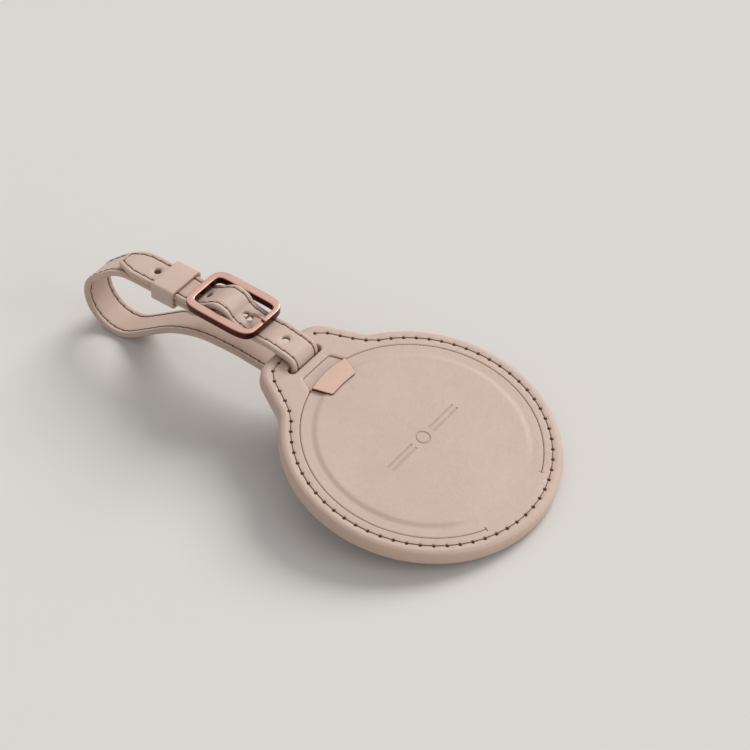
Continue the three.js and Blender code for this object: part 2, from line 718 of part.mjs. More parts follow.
add('front_panel', frontPanel(), LEATHER);
add('front_flap', frontFlap(), LEATHER);
add('tab_tongue', tabTongue(), LEATHER);
add('tab_patch', tabPatch(), TAN_LEATHER);
add('core_frame', coreFrame(), EDGE_LEATHER);
add('back_panel', backPanel(), LEATHER);
add('perimeter_seam', seamRope(0.26, 6), THREAD);
add('card_window', coverSheet(WINDOW_UNDER, CORE_TOP), CLEAR);
add('id_card', coverSheet(CARD_UNDER, CARD_TOP), PAPER);
add('module_upper_shell', upperShell(), SHELL_PLASTIC);
add('module_lower_shell', lowerShell(), SHELL_PLASTIC);
add('circuit_board', circuitBoard(), BOARD);
add('charging_coil', chargingCoil(), COPPER);
add('ferrite_sheet', ferriteSheet(), DARK_PLASTIC);
add('battery_cell', batteryCell(), STEEL);
add('radio_can', radioCan(), STEEL);
add('radio_antenna', radioAntenna(), COPPER);
add('sound_disc', soundDisc(), COPPER);
add('dome_switch', domeSwitch(), STEEL);
add('button_cap', buttonCap(), DARK_PLASTIC);
add('light_pipe', lightPipe(), CLEAR);
add('strap_band', strapBand(stations), LEATHER);
add('strap_seam_left', strapSeam(stations, -1), THREAD);
add('strap_seam_right', strapSeam(stations, 1), THREAD);
add('keeper_loop', keeperLoop(), LEATHER);
add('buckle_frame', buckleFrame(), ROSE_METAL);
add('buckle_bar', buckleBar(), ROSE_METAL);
add('buckle_prong', buckleProng(), ROSE_METAL);

for (const mesh of assembly.children) mesh.geometry.rotateX(standingTilt());
const bounds = new THREE.Box3().setFromObject(assembly);
const middle = bounds.getCenter(new THREE.Vector3());
for (const mesh of assembly.children) mesh.geometry.translate(-middle.x, -middle.y, -bounds.min.z);

export default assembly;
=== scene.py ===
"""Leather tracker tag with a buckled strap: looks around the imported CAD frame."""
import json
import math

import bmesh
import bpy
import numpy as np
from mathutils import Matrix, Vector, geometry, kdtree


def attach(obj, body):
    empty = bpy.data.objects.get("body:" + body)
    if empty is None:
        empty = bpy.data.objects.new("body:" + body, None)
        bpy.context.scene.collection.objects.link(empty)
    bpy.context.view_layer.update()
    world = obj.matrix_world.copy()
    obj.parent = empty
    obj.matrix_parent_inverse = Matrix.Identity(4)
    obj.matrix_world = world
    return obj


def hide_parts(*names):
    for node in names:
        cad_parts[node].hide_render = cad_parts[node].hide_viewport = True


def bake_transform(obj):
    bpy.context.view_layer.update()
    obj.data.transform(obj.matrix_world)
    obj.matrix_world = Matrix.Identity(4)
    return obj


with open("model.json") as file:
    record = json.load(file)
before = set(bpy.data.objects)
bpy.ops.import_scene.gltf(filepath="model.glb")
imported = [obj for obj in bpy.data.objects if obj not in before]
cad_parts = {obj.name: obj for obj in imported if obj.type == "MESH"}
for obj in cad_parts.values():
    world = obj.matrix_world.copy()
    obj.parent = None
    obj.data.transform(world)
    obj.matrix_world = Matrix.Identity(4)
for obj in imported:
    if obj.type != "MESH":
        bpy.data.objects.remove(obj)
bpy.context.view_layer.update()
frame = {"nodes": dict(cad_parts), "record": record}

MM = 0.001

# ---- sizes in millimetres, in the tag's own frame (front face in Z = 0, disc centre at the origin) ----
THICK = 4.8
SHEET = 1.15
EDGE_ROUND = 1.5
SEAM_R = 34.0
MARGIN = 2.9
SKIRT_Z = -3.3
SLOT_Y, SLOT_H, SLOT_HALF = 38.6, 2.4, 6.4
SLIT_R, FLAP_R = 31.7, 31.54
SLIT_END = 157.4
NOTCH_TOP, NOTCH_HALF, NOTCH_FOOT = 34.85, 6.0, 7.1
HINGE_START, HINGE_END = -29.15, -26.4
PLATEAU, PLATEAU_R, PLATEAU_RAMP = 0.42, 27.1, 1.75
RECESS_R, CAVITY_R = 26.4, 23.4
BAR = (63.4, 0.92)


def radians(a):
    return a * math.pi / 180


# ---- placing: the tag's frame in the row frame ----
back_mount = next(m for m in frame["record"]["mounts"] if m["name"] == "back_face")
UP = -np.array(back_mount["axis"], float)
UP /= np.linalg.norm(UP)
ACROSS = np.array([1.0, 0.0, 0.0])
ALONG = np.cross(UP, ACROSS)
CENTRE = np.array(back_mount["pos_m"], float) + UP * THICK * MM
AXES = np.column_stack([ACROSS, ALONG, UP])


def to_row(points):
    """Tag-frame millimetres to row-frame metres."""
    return CENTRE + (np.asarray(points, float) @ AXES.T) * MM


# ---- 2-D helpers ----
def arc(cx, cy, r, a0, a1, n):
    t = np.radians(np.linspace(a0, a1, n + 1))
    return np.column_stack([cx + r * np.cos(t), cy + r * np.sin(t)])


def tag_outline(offset, step=0.4):
    """Outline at a distance outside the seam line, as an open list of points of a closed loop."""
    leave, fillet, slant, corner, top = 33.4, 10.1, 28.0, 5.0, 42.8
    fx = (SEAM_R + fillet) * math.sin(radians(leave))
    fy = (SEAM_R + fillet) * math.cos(radians(leave))
    ax, ay = math.cos(radians(slant)), math.sin(radians(slant))
    sx, sy = fx - fillet * ax, fy - fillet * ay
    cy = top - corner
    cx = sx - ((cy - sy) * ay + corner) / ax
    parts = [arc(0, 0, SEAM_R + offset, -90, 90 - leave, int(85 / step)),
             arc(fx, fy, fillet - offset, 270 - leave, 180 + slant, int(6 / step))[1:]]
    low, high = parts[-1][-1], arc(cx, cy, corner + offset, slant, 90, int(7 / step))
    n = max(2, int(np.linalg.norm(high[0] - low) / step))
    parts.append(low + (high[0] - low) * np.linspace(0, 1, n + 1)[1:-1, None])
    parts.append(high)
    half = np.vstack(parts)
    n = max(2, int(half[-1][0] / step))
    flat = np.column_stack([np.linspace(half[-1][0], 0, n + 1)[1:], np.full(n, half[-1][1])])
    half = np.vstack([half, flat])
    return np.vstack([half, (half * [-1, 1])[1:-1][::-1]])


def slot_outline(grow=0.0, n=14):
    r = SLOT_H / 2 + grow
    reach = SLOT_HALF - SLOT_H / 2
    right, left = arc(reach, SLOT_Y, r, -90, 90, n), arc(-reach, SLOT_Y, r, 90, 270, n)
    return fill_gaps(np.vstack([right, left]), 0.4)


def fill_gaps(loop, step):
    """Adds points along the long edges of a closed loop."""
    out = []
    for a, b in zip(loop, np.roll(loop, -1, axis=0)):
        n = max(1, int(np.linalg.norm(b - a) / step))
        out.append(a + (b - a) * (np.arange(n) / n)[:, None])
    return np.vstack(out)


def resample(line, step, closed=False):
    pts = np.vstack([line, line[:1]]) if closed else np.asarray(line)
    run = np.r_[0, np.cumsum(np.linalg.norm(np.diff(pts, axis=0), axis=1))]
    n = max(2, int(round(run[-1] / step)))
    at = np.linspace(0, run[-1], n + 1)
    if closed:
        at = at[:-1]
    return np.column_stack([np.interp(at, run, pts[:, k]) for k in range(pts.shape[1])])


def polar(r, beta):
    """Point at radius r and an angle from +Y, clockwise seen from the front."""
    return np.column_stack([r * np.sin(np.radians(beta)), r * np.cos(np.radians(beta))])


def within(points, loops):
    """Even-odd test of points against closed loops."""
    hit = np.zeros(len(points), bool)
    x, y = points[:, 0], points[:, 1]
    for loop in loops:
        for (x0, y0), (x1, y1) in zip(loop, np.roll(loop, -1, axis=0)):
            if y0 == y1:
                continue
            cross = (y0 > y) != (y1 > y)
            hit ^= cross & (x < x0 + (y - y0) * (x1 - x0) / (y1 - y0))
    return hit


def nearest(points, targets):
    """Distance from each point to its nearest target."""
    tree = kdtree.KDTree(len(targets))
    for i, t in enumerate(targets):
        tree.insert((t[0], t[1], 0), i)
    tree.balance()
    return np.array([tree.find((p[0], p[1], 0))[2] for p in points])


def area(loop):
    x, y = loop[:, 0], loop[:, 1]
    return 0.5 * float(np.sum(x * np.roll(y, -1) - np.roll(x, -1) * y))


def smooth(t):
    t = np.clip(t, 0, 1)
    return t * t * (3 - 2 * t)


def grid(low, high, step):
    """Hexagonal grid of points over a rectangle."""
    xs = np.arange(low[0], high[0], step, dtype=float)
    ys = np.arange(low[1], high[1], step * 0.866, dtype=float)
    gx, gy = np.meshgrid(xs, ys)
    gx[1::2] += step / 2
    return np.column_stack([gx.ravel(), gy.ravel()])


# ---- leather sheets ----
def triangulate(loops, seeds, clear):
    """Triangles over the area the loops enclose. Returns points, triangles and each loop's indices."""
    edge = np.vstack(loops)
    if len(seeds):
        seeds = seeds[within(seeds, loops)]
        seeds = seeds[nearest(seeds, edge) > clear]
        keys = np.unique(np.round(seeds / 0.05).astype(int), axis=0, return_index=True)[1]
        seeds = seeds[np.sort(keys)]
        points = np.vstack([edge, seeds])
    else:
        points = edge
    edges, start, rows = [], 0, []
    for loop in loops:
        index = list(range(start, start + len(loop)))
        rows.append(index)
        edges += list(zip(index, index[1:] + index[:1]))
        start += len(loop)
    result = geometry.delaunay_2d_cdt([Vector(p) for p in points], edges, [], 0, 1e-6, True)
    out = np.array([v[:] for v in result[0]])
    tris = np.array([f[:] for f in result[2] if len(f) == 3])
    source = np.full(len(points), -1)
    for i, ids in enumerate(result[3]):
        for k in ids:
            source[k] = i
    rows = [[int(source[k]) for k in row] for row in rows]
    on_edge = np.zeros(len(out), bool)
    for row in rows:
        on_edge[row] = True
    doubtful = on_edge[tris].all(axis=1)
    keep = ~doubtful
    keep[doubtful] = within(out[tris[doubtful]].mean(axis=1), loops)
    return out, tris[keep], rows


def slab(name, loops, seeds, top, bottom, place, double=False, wall=(), low_seeds=None, clear=0.12):
    """A closed sheet: a shaped top, side walls and a bottom.

    `wall` holds the inner wall heights as shares.
    """
    loops = [loop if (area(loop) > 0) == (i == 0) else loop[::-1] for i, loop in enumerate(loops)]
    up_pts, up_tris, up_rows = triangulate(loops, seeds, clear)
    d_up = nearest(up_pts, np.vstack([resample(loop, 0.05, True) for loop in loops]))
    if double:
        low_pts, low_tris, low_rows, d_low = up_pts, up_tris, up_rows, d_up
    else:
        extra = np.zeros((0, 2)) if low_seeds is None else low_seeds
        low_pts, low_tris, low_rows = triangulate(loops, extra, 0.05)
        d_low = nearest(low_pts, np.vstack(loops))
    z_up, z_low = top(up_pts, d_up), bottom(low_pts, d_low)
    verts = [np.column_stack([up_pts, z_up]), np.column_stack([low_pts, z_low])]
    faces = [up_tris, low_tris[:, ::-1] + len(up_pts)]
    base = len(up_pts) + len(low_pts)
    quads = []
    for up_row, low_row in zip(up_rows, low_rows):
        n = len(up_row)
        rows = [np.array(low_row) + len(up_pts)]
        a, b = np.array(low_row), np.array(up_row)
        for share in wall:
            verts.append(np.column_stack([up_pts[b], z_low[a] + (z_up[b] - z_low[a]) * share]))
            rows.append(np.arange(base, base + n))
            base += n
        rows.append(b)
        for r0, r1 in zip(rows, rows[1:]):
            quads.append(np.column_stack([r0, np.roll(r0, -1), np.roll(r1, -1), r1]))
    return mesh_object(name, place(np.vstack(verts)), [*faces, *quads])


def level(z):
    """A flat face at one height, for slab."""
    return lambda points, d: np.full(len(points), z)


def mesh_object(name, verts, face_sets, sharp=38):
    """Smooth-shaded object in the scene; edges steeper than `sharp` degrees stay crisp."""
    mesh = bpy.data.meshes.new(name)
    faces = [list(map(int, f)) for block in face_sets for f in block]
    mesh.from_pydata([tuple(v) for v in verts], [], faces)
    mesh.validate()
    mesh.shade_smooth()
    mesh.set_sharp_from_angle(angle=radians(sharp))
    obj = bpy.data.objects.new(name, mesh)
    bpy.context.scene.collection.objects.link(obj)
    return obj


def set_attribute(obj, name, values):
    layer = obj.data.attributes.new(name, "FLOAT", "POINT")
    layer.data.foreach_set("value", np.asarray(values, np.float32))


def rounded(d, r):
    """Drop below a flat face at distance d from its edge, for an edge rounded to radius r."""
    t = np.clip(1 - d / r, 0, 1)
    return r - r * np.sqrt(np.maximum(0, 1 - t * t))


def edge_rings(loop_of, r, n=5):
    """Seed rings that resolve an edge rounded to radius r; loop_of(inset) gives the outline moved in."""
    return [loop_of(r * (1 - math.cos(a))) for a in np.linspace(0, math.pi / 2, n + 1)[1:]]


# ---- the seam round the tag ----
STITCH_PITCH = 5.744
STITCH_FIRST = 56.45
neck = np.array([(16.4, 30.8), (14.5, 33.7), (12.9, 36.7), (11.3, 39.7), (8.9, 42.1), (5.6, 42.75),
                 (2.2, 42.8)])
ring_holes = np.array([(SEAM_R * math.cos(radians(a)), SEAM_R * math.sin(radians(a)))
                       for a in STITCH_FIRST - STITCH_PITCH * np.arange(52)])
front_holes = np.vstack([neck[:5][::-1], ring_holes, neck * [-1, 1]])
back_holes = np.vstack([neck[::-1], ring_holes, neck * [-1, 1]])


def seam_relief(points, holes, line):
    """How far the face sinks beside the thread and into the holes, and the painted shade that darkens the
    holes.
    """
    to_line = nearest(points, line)
    to_hole = nearest(points, holes)
    sink = 0.08 * np.exp(-(to_line / 0.5) ** 2) + 0.08 * np.exp(-(to_hole / 0.9) ** 2)
    pit = 1 - smooth((to_hole - 0.3) / 0.2)
    return sink + 0.55 * pit, 1 - smooth((to_hole - 0.34) / 0.14)


def seam_seeds():
    offsets = (-0.9, -0.55, -0.35, -0.18, 0, 0.18, 0.35, 0.55, 0.9)
    return np.vstack([resample(tag_outline(o, 0.2), 0.2, True) for o in offsets])


def bands(count, m, base=0, closed=False):
    """Four-sided faces between `count` rings of m points each that follow each other."""
    faces = []
    for i in range(count if closed else count - 1):
        j = (i + 1) % count
        for k in range(m):
            k2 = (k + 1) % m
            faces.append([base + i * m + k, base + i * m + k2, base + j * m + k2, base + j * m + k])
    return faces


def tube(path, radius, sides=8, normal=(0, 0, 1)):
    """Round tube along 3-D points; returns vertices and faces."""
    path = np.asarray(path, float)
    tangent = np.gradient(path, axis=0)
    tangent /= np.linalg.norm(tangent, axis=1)[:, None]
    up = np.tile(np.asarray(normal, float), (len(path), 1)) if np.ndim(normal) == 1 else np.asarray(normal)
    side = np.cross(tangent, up)
    side /= np.linalg.norm(side, axis=1)[:, None]
    up = np.cross(side, tangent)
    radius = np.broadcast_to(radius, len(path))
    rings = []
    for k in range(sides):
        a = 2 * math.pi * k / sides
        rings.append(path + (side * math.cos(a) + up * math.sin(a)) * radius[:, None])
    verts = np.stack(rings, axis=1).reshape(-1, 3)
    faces = [[a, d, c, b] for a, b, c, d in bands(len(path), sides)]
    faces.append(list(range(sides)))
    faces.append(list(range(len(verts) - sides, len(verts)))[::-1])
    return verts, faces


def thread_path(holes, height, dip, bow=0.04):
    """A thread that rises out of each hole and lies on the face up to the next."""
    out = []
    for i, (a, b) in enumerate(zip(holes, holes[1:])):
        for t, z in ((0, -dip), (0.05, -dip * 0.6), (0.1, -dip * 0.25), (0.17, 0.0), (0.32, bow),
                     (0.5, bow), (0.68, bow), (0.83, 0.0), (0.9, -dip * 0.25), (0.95, -dip * 0.6)):
            p = a + (b - a) * t
            out.append([p[0], p[1], height + z])
    out.append([holes[-1][0], holes[-1][1], height - dip])
    return np.array(out)


# ---- tag leather ----
hinge_arc = polar(SLIT_R, np.linspace(SLIT_END, 360 - SLIT_END, 64))
TICK, TICK_REACH = 0.4, 0.6
UNCUT = 9.0  # distance given to places with no cut edge near


def slit_side(r, sign, start, n):
    """Slit points on one side, from beside the notch down to the slit's end."""
    return polar(r, sign * np.linspace(start, SLIT_END - TICK, n))


def slit_ticks(r):
    """The short cross cuts that end the slit, right and left."""
    ends = np.array([SLIT_END - TICK, SLIT_END])
    return polar(r, ends), polar(r, -ends[::-1])


def notch_loop(shrink=0.0, low=29.2):
    right = np.vstack([[NOTCH_FOOT - shrink, low], [NOTCH_FOOT - shrink, 31.2], notch_corner(shrink)])
    return np.vstack([right, (right * [-1, 1])[::-1]])


def notch_corner(shrink=0.0, c=1.0):
    return arc(NOTCH_HALF - shrink - c, NOTCH_TOP - shrink - c, c, 20, 90, 8)


def ring_inner_loop():
    """Slit, end ticks, hinge arc and notch as the front panel's inner edge."""
    flare = np.array([[7.75, 30.95], [7.35, 31.15], [7.15, 31.5]])
    start = math.degrees(math.asin(8.1 / SLIT_R))
    right = slit_side(SLIT_R, 1, start, 300)
    tick, tick_left = slit_ticks(SLIT_R + TICK_REACH)
    left = slit_side(SLIT_R, -1, start, 300)[::-1]
    side = np.vstack([flare, notch_corner()])
    return np.vstack([right, tick, hinge_arc, tick_left, left, side * [-1, 1], side[::-1]])


def flap_loop():
    right = slit_side(FLAP_R, 1, 0, 380)[1:]
    left = slit_side(FLAP_R, -1, 0, 380)[::-1]
    tick, tick_left = slit_ticks(FLAP_R - TICK_REACH)
    return np.vstack([right, tick, hinge_arc, tick_left, left])


def free_edge(points, d):
    """Distance to the cut edges only: the hinge arc is uncut leather."""
    beta = np.degrees(np.abs(np.arctan2(points[:, 0], points[:, 1])))
    near_hinge = (beta > SLIT_END - 0.2) & (np.abs(np.hypot(points[:, 0], points[:, 1]) - SLIT_R) < 3)
    return np.where(near_hinge, UNCUT, d)


def plateau(points):
    """The flap's raised middle, which runs out softly towards the hinge."""
    r = np.hypot(points[:, 0], points[:, 1])
    rise = 1 - smooth((r - PLATEAU_R) / PLATEAU_RAMP)
    return PLATEAU * rise * smooth((points[:, 1] + 27) / 7)


def hinge_crease(points):
    """Faint straight fold line left by opening the flap."""
    x, y = np.abs(points[:, 0]), points[:, 1]
    return 0.035 * np.exp(-((y + 24.4) / 0.35) ** 2) * smooth((11 - x) / 3)


def ornament(points):
    """A plain ring between pairs of short rules, pressed in."""
    x, y = np.abs(points[:, 0]), points[:, 1]
    r = np.hypot(points[:, 0], y)
    soft = 0.1
    ring = np.clip(((0.28 - np.abs(r - 1.85)) / soft) + 0.5, 0, 1)
    rule = np.clip((0.24 - np.abs(np.abs(y) - 0.75)) / soft + 0.5, 0, 1)
    rule = rule * np.clip((5.2 - np.abs(x - 9)) / soft + 0.5, 0, 1)
    return 0.2 * smooth(np.maximum(ring, rule))


def waves(points, size, depth):
    """Slow unevenness of soft leather."""
    x, y = points[:, 0] / size, points[:, 1] / size
    swell = np.sin(x * 1.7 + 0.6 * np.sin(y * 1.3)) * np.cos(y * 1.9 + 0.8)
    return depth * (swell + 0.5 * np.sin(2.7 * x - 3.1 * y))


def build_tag():
    outline = tag_outline(MARGIN, 0.4)
    outline_line = tag_outline(0, 0.1)
    shoulder = np.vstack(edge_rings(lambda inset: tag_outline(MARGIN - inset, 0.45), EDGE_ROUND, 9))
    inner = ring_inner_loop()
    slot = slot_outline()
    sweep = np.linspace(-SLIT_END, SLIT_END, 500)
    slit_rings = np.vstack([polar(SLIT_R + o, sweep) for o in (0.08, 0.2, 0.35)])
    slot_rings = np.vstack([slot_outline(g, 20) for g in (0.1, 0.25, 0.45, 0.8)])
    field = grid((-38, -38), (38, 46), 0.85)
    seeds = np.vstack([shoulder, seam_seeds(), slit_rings, slot_rings, field])
    dark = {}

    def outer_distance(points):
        return nearest(points, outline_fine)

    outline_fine = resample(outline, 0.06, True)
    cut_fine = resample(inner, 0.06, True)
    slot_fine = resample(slot, 0.06, True)

    def face(holes, key):
        def top(points, d):
            out = outer_distance(points)
            cut = np.full(len(points), UNCUT)
            if key == "front":
                cut = free_edge(points, nearest(points, cut_fine))
            slot_d = nearest(points, slot_fine)
            sink, shade = seam_relief(points, holes, outline_line)
            x, y = points[:, 0], points[:, 1]
            wander = 0.08 * np.sin(x * 1.9 + y * 0.7) + 0.05 * np.sin(y * 3.3)
            crease = 0.07 * np.exp(-((out - 0.95 - wander) / 0.2) ** 2)
            z = -rounded(out, EDGE_ROUND) - rounded(cut, 0.24) - rounded(slot_d, 0.45)
            z = z - sink * smooth(out / 1.2) - crease + waves(points, 9, 0.012) * smooth(out / 2)
            dark[key] = (shade, 1 - smooth((out - 0.25) / 1.0))
            return z
        return top

    def skirt(edge_z):
        """Inner side of a face sheet: flat, and drawn down to edge_z along the outline."""
        return lambda points, d: np.where(outer_distance(points) < 0.05, edge_z, -SHEET)

    lip = tag_outline(MARGIN - 0.8, 0.8)
    ring = slab("leather_front", [outline, inner, slot], seeds, face(front_holes, "front"),
                skirt(SKIRT_Z), to_row, wall=(0.3, 0.65), low_seeds=lip)
    fill_shade(ring, *dark["front"])

    def place_back(points):
        flipped = points * [1, 1, -1] - [0, 0, THICK]
        return to_row(flipped)

    back_seeds = np.vstack([shoulder, seam_seeds(), slot_rings, field])
    back = slab("leather_back", [outline, slot], back_seeds, face(back_holes, "back"),
                skirt(-(THICK + SKIRT_Z)), place_back, low_seeds=lip)
    back.data.flip_normals()
    fill_shade(back, *dark["back"])
    for o in (ring, back):
        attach(o, "tag")
    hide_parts("front_panel")
    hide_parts("back_panel")

    front_line = thread_path(front_holes, -0.03, 0.5)
    back_line = thread_path(back_holes, -0.03, 0.5) * [1, 1, -1] - [0, 0, THICK]
    seam = join_tubes("tag_thread", [(front_line, 0.1), (back_line, 0.1)], to_row)
    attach(seam, "tag")
    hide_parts("perimeter_seam")

    flap = build_flap()
    core = build_core()
    tongue, tab = build_tab()
    return ring, back, seam, flap, core, tongue, tab


def fill_shade(obj, shade, side):
    """Marks the painted shade in the holes and the painted edge; points past the top face's own are on the
    walls.
    """
    n = len(obj.data.vertices)
    pad = lambda v, rest: np.concatenate([v, np.full(n - len(v), rest)])
    set_attribute(obj, "hole", pad(shade, 0.0))
    set_attribute(obj, "paint", pad(side, 1.0))


def join_tubes(name, paths, place, sides=8, normals=None):
    verts, faces, base = [], [], 0
    for i, (path, radius) in enumerate(paths):
        normal = (0, 0, 1) if normals is None else normals[i]
        v, f = tube(path, radius, sides, normal=normal)
        verts.append(v)
        faces += [[k + base for k in face] for face in f]
        base += len(v)
    return mesh_object(name, place(np.vstack(verts)), [faces], sharp=60)


def build_flap():
    loop = flap_loop()
    rings = [polar(r, np.linspace(-180, 180, 420)) for r in np.arange(26.4, 29.8, 0.3)]
    rim = [polar(FLAP_R - o, np.linspace(-SLIT_END, SLIT_END, 520)) for o in (0.08, 0.2, 0.35)]
    bend = grid((-15, -31.8), (15, -24), 0.4)
    field = grid((-32, -32), (32, 32), 0.85)
    mark = np.vstack([grid((3.5, -1.1), (14.6, 1.1), 0.13), grid((-14.6, -1.1), (-3.5, 1.1), 0.13),
                      grid((-2.4, -2.4), (2.4, 2.4), 0.13)])
    seeds = np.vstack([*rings, *rim, bend, mark, field])
    edge_fine = resample(loop, 0.06, True)
    shade = {}

    def top(points, d):
        cut = free_edge(points, nearest(points, edge_fine))
        pressed = ornament(points)
        shade["mark"] = pressed / 0.2
        z = plateau(points) - rounded(cut, 0.24) - pressed - hinge_crease(points)
        return z + waves(points, 9, 0.012) * smooth(cut / 2)

    low = np.vstack([grid((-32, -32), (32, -20), 0.7), grid((-32, -20), (32, 32), 4)])
    flap = slab("leather_flap", [loop], seeds, top, level(-SHEET), to_row, low_seeds=low)
    marks = np.zeros(len(flap.data.vertices))
    marks[:len(shade["mark"])] = shade["mark"]
    for name, values in (("hole", marks * 0), ("mark", marks), ("paint", marks * 0)):
        set_attribute(flap, name, values)
    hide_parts("front_flap")
    tuple(to_row([0, HINGE_START, 0]))
    tuple(to_row([0, HINGE_END, 0]))
    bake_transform(flap)
    return flap


def build_core():
    """Middle layer: an upper tier with the card's recess and the tab's pocket, and a lower one."""
    outline = tag_outline(MARGIN - 1.0, 0.8)
    slot = slot_outline(0.02, 10)
    half = math.degrees(math.asin(NOTCH_FOOT / RECESS_R))
    recess = polar(RECESS_R, np.linspace(half, 360 - half, 160))
    corner = np.vstack([[NOTCH_FOOT, 31.2], notch_corner()])
    pocket = np.vstack([recess, corner * [-1, 1], corner[::-1]])
    no_seeds = np.zeros((0, 2))
    upper = slab("core_upper", [outline, pocket, slot], no_seeds, level(-1.2), level(-2.2), to_row)
    cavity = polar(CAVITY_R, np.linspace(0, 360, 145)[:-1])
    lower = slab("core_lower", [outline, cavity, slot], no_seeds, level(-2.21), level(-3.6), to_row)
    core = join_objects("core_layer", [upper, lower])
    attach(core, "tag")
    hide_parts("core_frame")
    return core


def join_objects(name, objects):
    verts, faces, base = [], [], 0
    for o in objects:
        verts += [v.co[:] for v in o.data.vertices]
        faces += [[k + base for k in p.vertices] for p in o.data.polygons]
        base = len(verts)
        bpy.data.objects.remove(o)
    return mesh_object(name, verts, [faces])


def build_tab():
    loop = fill_gaps(notch_loop(0.07, 27.5), 0.3)
    step = np.vstack([polar(FLAP_R + g, np.linspace(-13, 13, 90)) for g in (0.04, 0.1, 0.16, 0.25, 0.4)])
    seeds = np.vstack([step, grid((-7, 27), (7, 35), 0.35), *inset_rings(loop, (0.08, 0.2))])

    def tongue_top(points, d):
        r = np.hypot(points[:, 0], points[:, 1])
        lift = smooth((r - (FLAP_R + 0.03)) / 0.1)
        return -1.22 + 0.78 * lift - rounded(d, 0.06) * lift

    tongue = slab("tab_tongue_leather", [loop], seeds, tongue_top, level(-2.0), to_row)
    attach(tongue, "flap")
    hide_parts("tab_tongue")

    arc_top = arc(0, 0, FLAP_R - 0.03, 90 - 13.2, 90 + 13.2, 40)
    sag = np.array([(x, 25.75 - 0.25 * (x / 4.35) ** 2) for x in np.linspace(-3.9, 3.9, 14)])
    shape = np.vstack([arc_top, arc(-4.35, 26.5, 1.0, 200, 268, 8), sag, arc(4.35, 26.5, 1.0, -88, -20, 8)])
    shape = fill_gaps(shape, 0.3)
    seeds = np.vstack([grid((-7.4, 25), (7.4, 32), 0.3), *inset_rings(shape, (0.05, 0.12, 0.22))])
    sink = {}

    def patch_top(points, d):
        sink["d"] = d
        return 0.92 - rounded(d, 0.16)

    tab = slab("tab_patch_leather", [shape], seeds, patch_top, lambda p, d: plateau(p) + 0.02, to_row,
               low_seeds=grid((-7, 25), (7, 32), 0.8), wall=(0.3, 0.7))
    n = len(tab.data.vertices)
    paint = np.ones(n)
    paint[:len(sink["d"])] = 1 - smooth((sink["d"] - 0.02) / 0.1)
    set_attribute(tab, "paint", paint)
    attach(tab, "flap")
    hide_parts("tab_patch")
    return tongue, tab


def inset_rings(loop, insets):
    """Copies of a closed anticlockwise loop moved inwards."""
    if area(loop) < 0:
        loop = loop[::-1]
    t = np.roll(loop, -1, axis=0) - np.roll(loop, 1, axis=0)
    t /= np.linalg.norm(t, axis=1)[:, None]
    inward = np.column_stack([-t[:, 1], t[:, 0]])
    return [loop + inward * s for s in insets]


# ---- strap ----
STRAP_HALF, SKIVED_HALF, STRAP_WIDE = 0.8, 0.5, 5.05
LOOP_END = (98.3, -23.0, 9.4)


def strap_line():
    tail = [(74, -5.45), (72.5, -5.05), (70.48, -3.98), (67.4, -1.8), (65.2, -0.9)]
    lower = [(68.08, -0.81), (71, -2.92), (72.88, -3.85), (75.1, -4.39), (80.6, -5.33), (86.1, -6.26),
             (91.6, -7.2), (95, -7.9), (97.3, -8.85), (100.2, -10.9), (102.5, -13.4), (104.7, -16.2)]
    branch = [(84.73, -22.87), (81.27, -19.4), (77.33, -16.15), (71.64, -12.71), (67.04, -10.86),
              (60.83, -9.38), (56.5, -8.6), (52.05, -8.2), (48.15, -7.8), (44.5, -7.7)]
    upper = [(44.5, 2), (48, 1.95), (51.4, 1.25), (54, 1.1), (57.6, 1.1), (60.1, 1.75), (61.7, 3.05),
             (63.5, 3.55), (65.64, 3.1), (68.99, 0.28), (71.64, -1.6), (73.28, -2.3), (75.37, -2.74),
             (80.9, -3.68), (86.4, -4.61), (91.9, -5.54), (95.4, -6.25), (98.1, -7.35), (99.3, -8.05)]
    fold = arc(BAR[0], BAR[1], 1.2, -110, -320, 10)
    loop_end = arc(*LOOP_END, 25, -132, 12)
    under, over = arc(41.2, -5.1, 2.6, -90, -180, 5), arc(41.2, -0.6, 2.6, 180, 90, 5)
    return np.vstack([tail, fold, lower, loop_end, branch, under, [(38.6, -3.6), (38.6, -2)], over, upper])


def catmull(points, per=24):
    """Centripetal Catmull-Rom curve through points."""
    p = np.vstack([2 * points[0] - points[1], points, 2 * points[-1] - points[-2]])
    out = []
    for p0, p1, p2, p3 in zip(p, p[1:], p[2:], p[3:]):
        t0 = 0.0
        t1 = t0 + np.linalg.norm(p1 - p0) ** 0.5
        t2 = t1 + np.linalg.norm(p2 - p1) ** 0.5
        t3 = t2 + np.linalg.norm(p3 - p2) ** 0.5
        t = np.linspace(t1, t2, per, endpoint=False)[:, None]
        a1 = (t1 - t) / (t1 - t0) * p0 + (t - t0) / (t1 - t0) * p1
        a2 = (t2 - t) / (t2 - t1) * p1 + (t - t1) / (t2 - t1) * p2
        a3 = (t3 - t) / (t3 - t2) * p2 + (t - t2) / (t3 - t2) * p3
        b1 = (t2 - t) / (t2 - t0) * a1 + (t - t0) / (t2 - t0) * a2
        b2 = (t3 - t) / (t3 - t1) * a2 + (t - t1) / (t3 - t1) * a3
        out.append((t2 - t) / (t2 - t1) * b1 + (t - t1) / (t2 - t1) * b2)
    return np.vstack([*out, points[-1:]])


strap_path = resample(catmull(strap_line()), 0.1)
strap_run = np.r_[0, np.cumsum(np.linalg.norm(np.diff(strap_path, axis=0), axis=1))]
STRAP_LENGTH = strap_run[-1]
tangent = np.gradient(strap_path, axis=0)
tangent /= np.linalg.norm(tangent, axis=1)[:, None]
strap_side = np.column_stack([-tangent[:, 1], tangent[:, 0]])


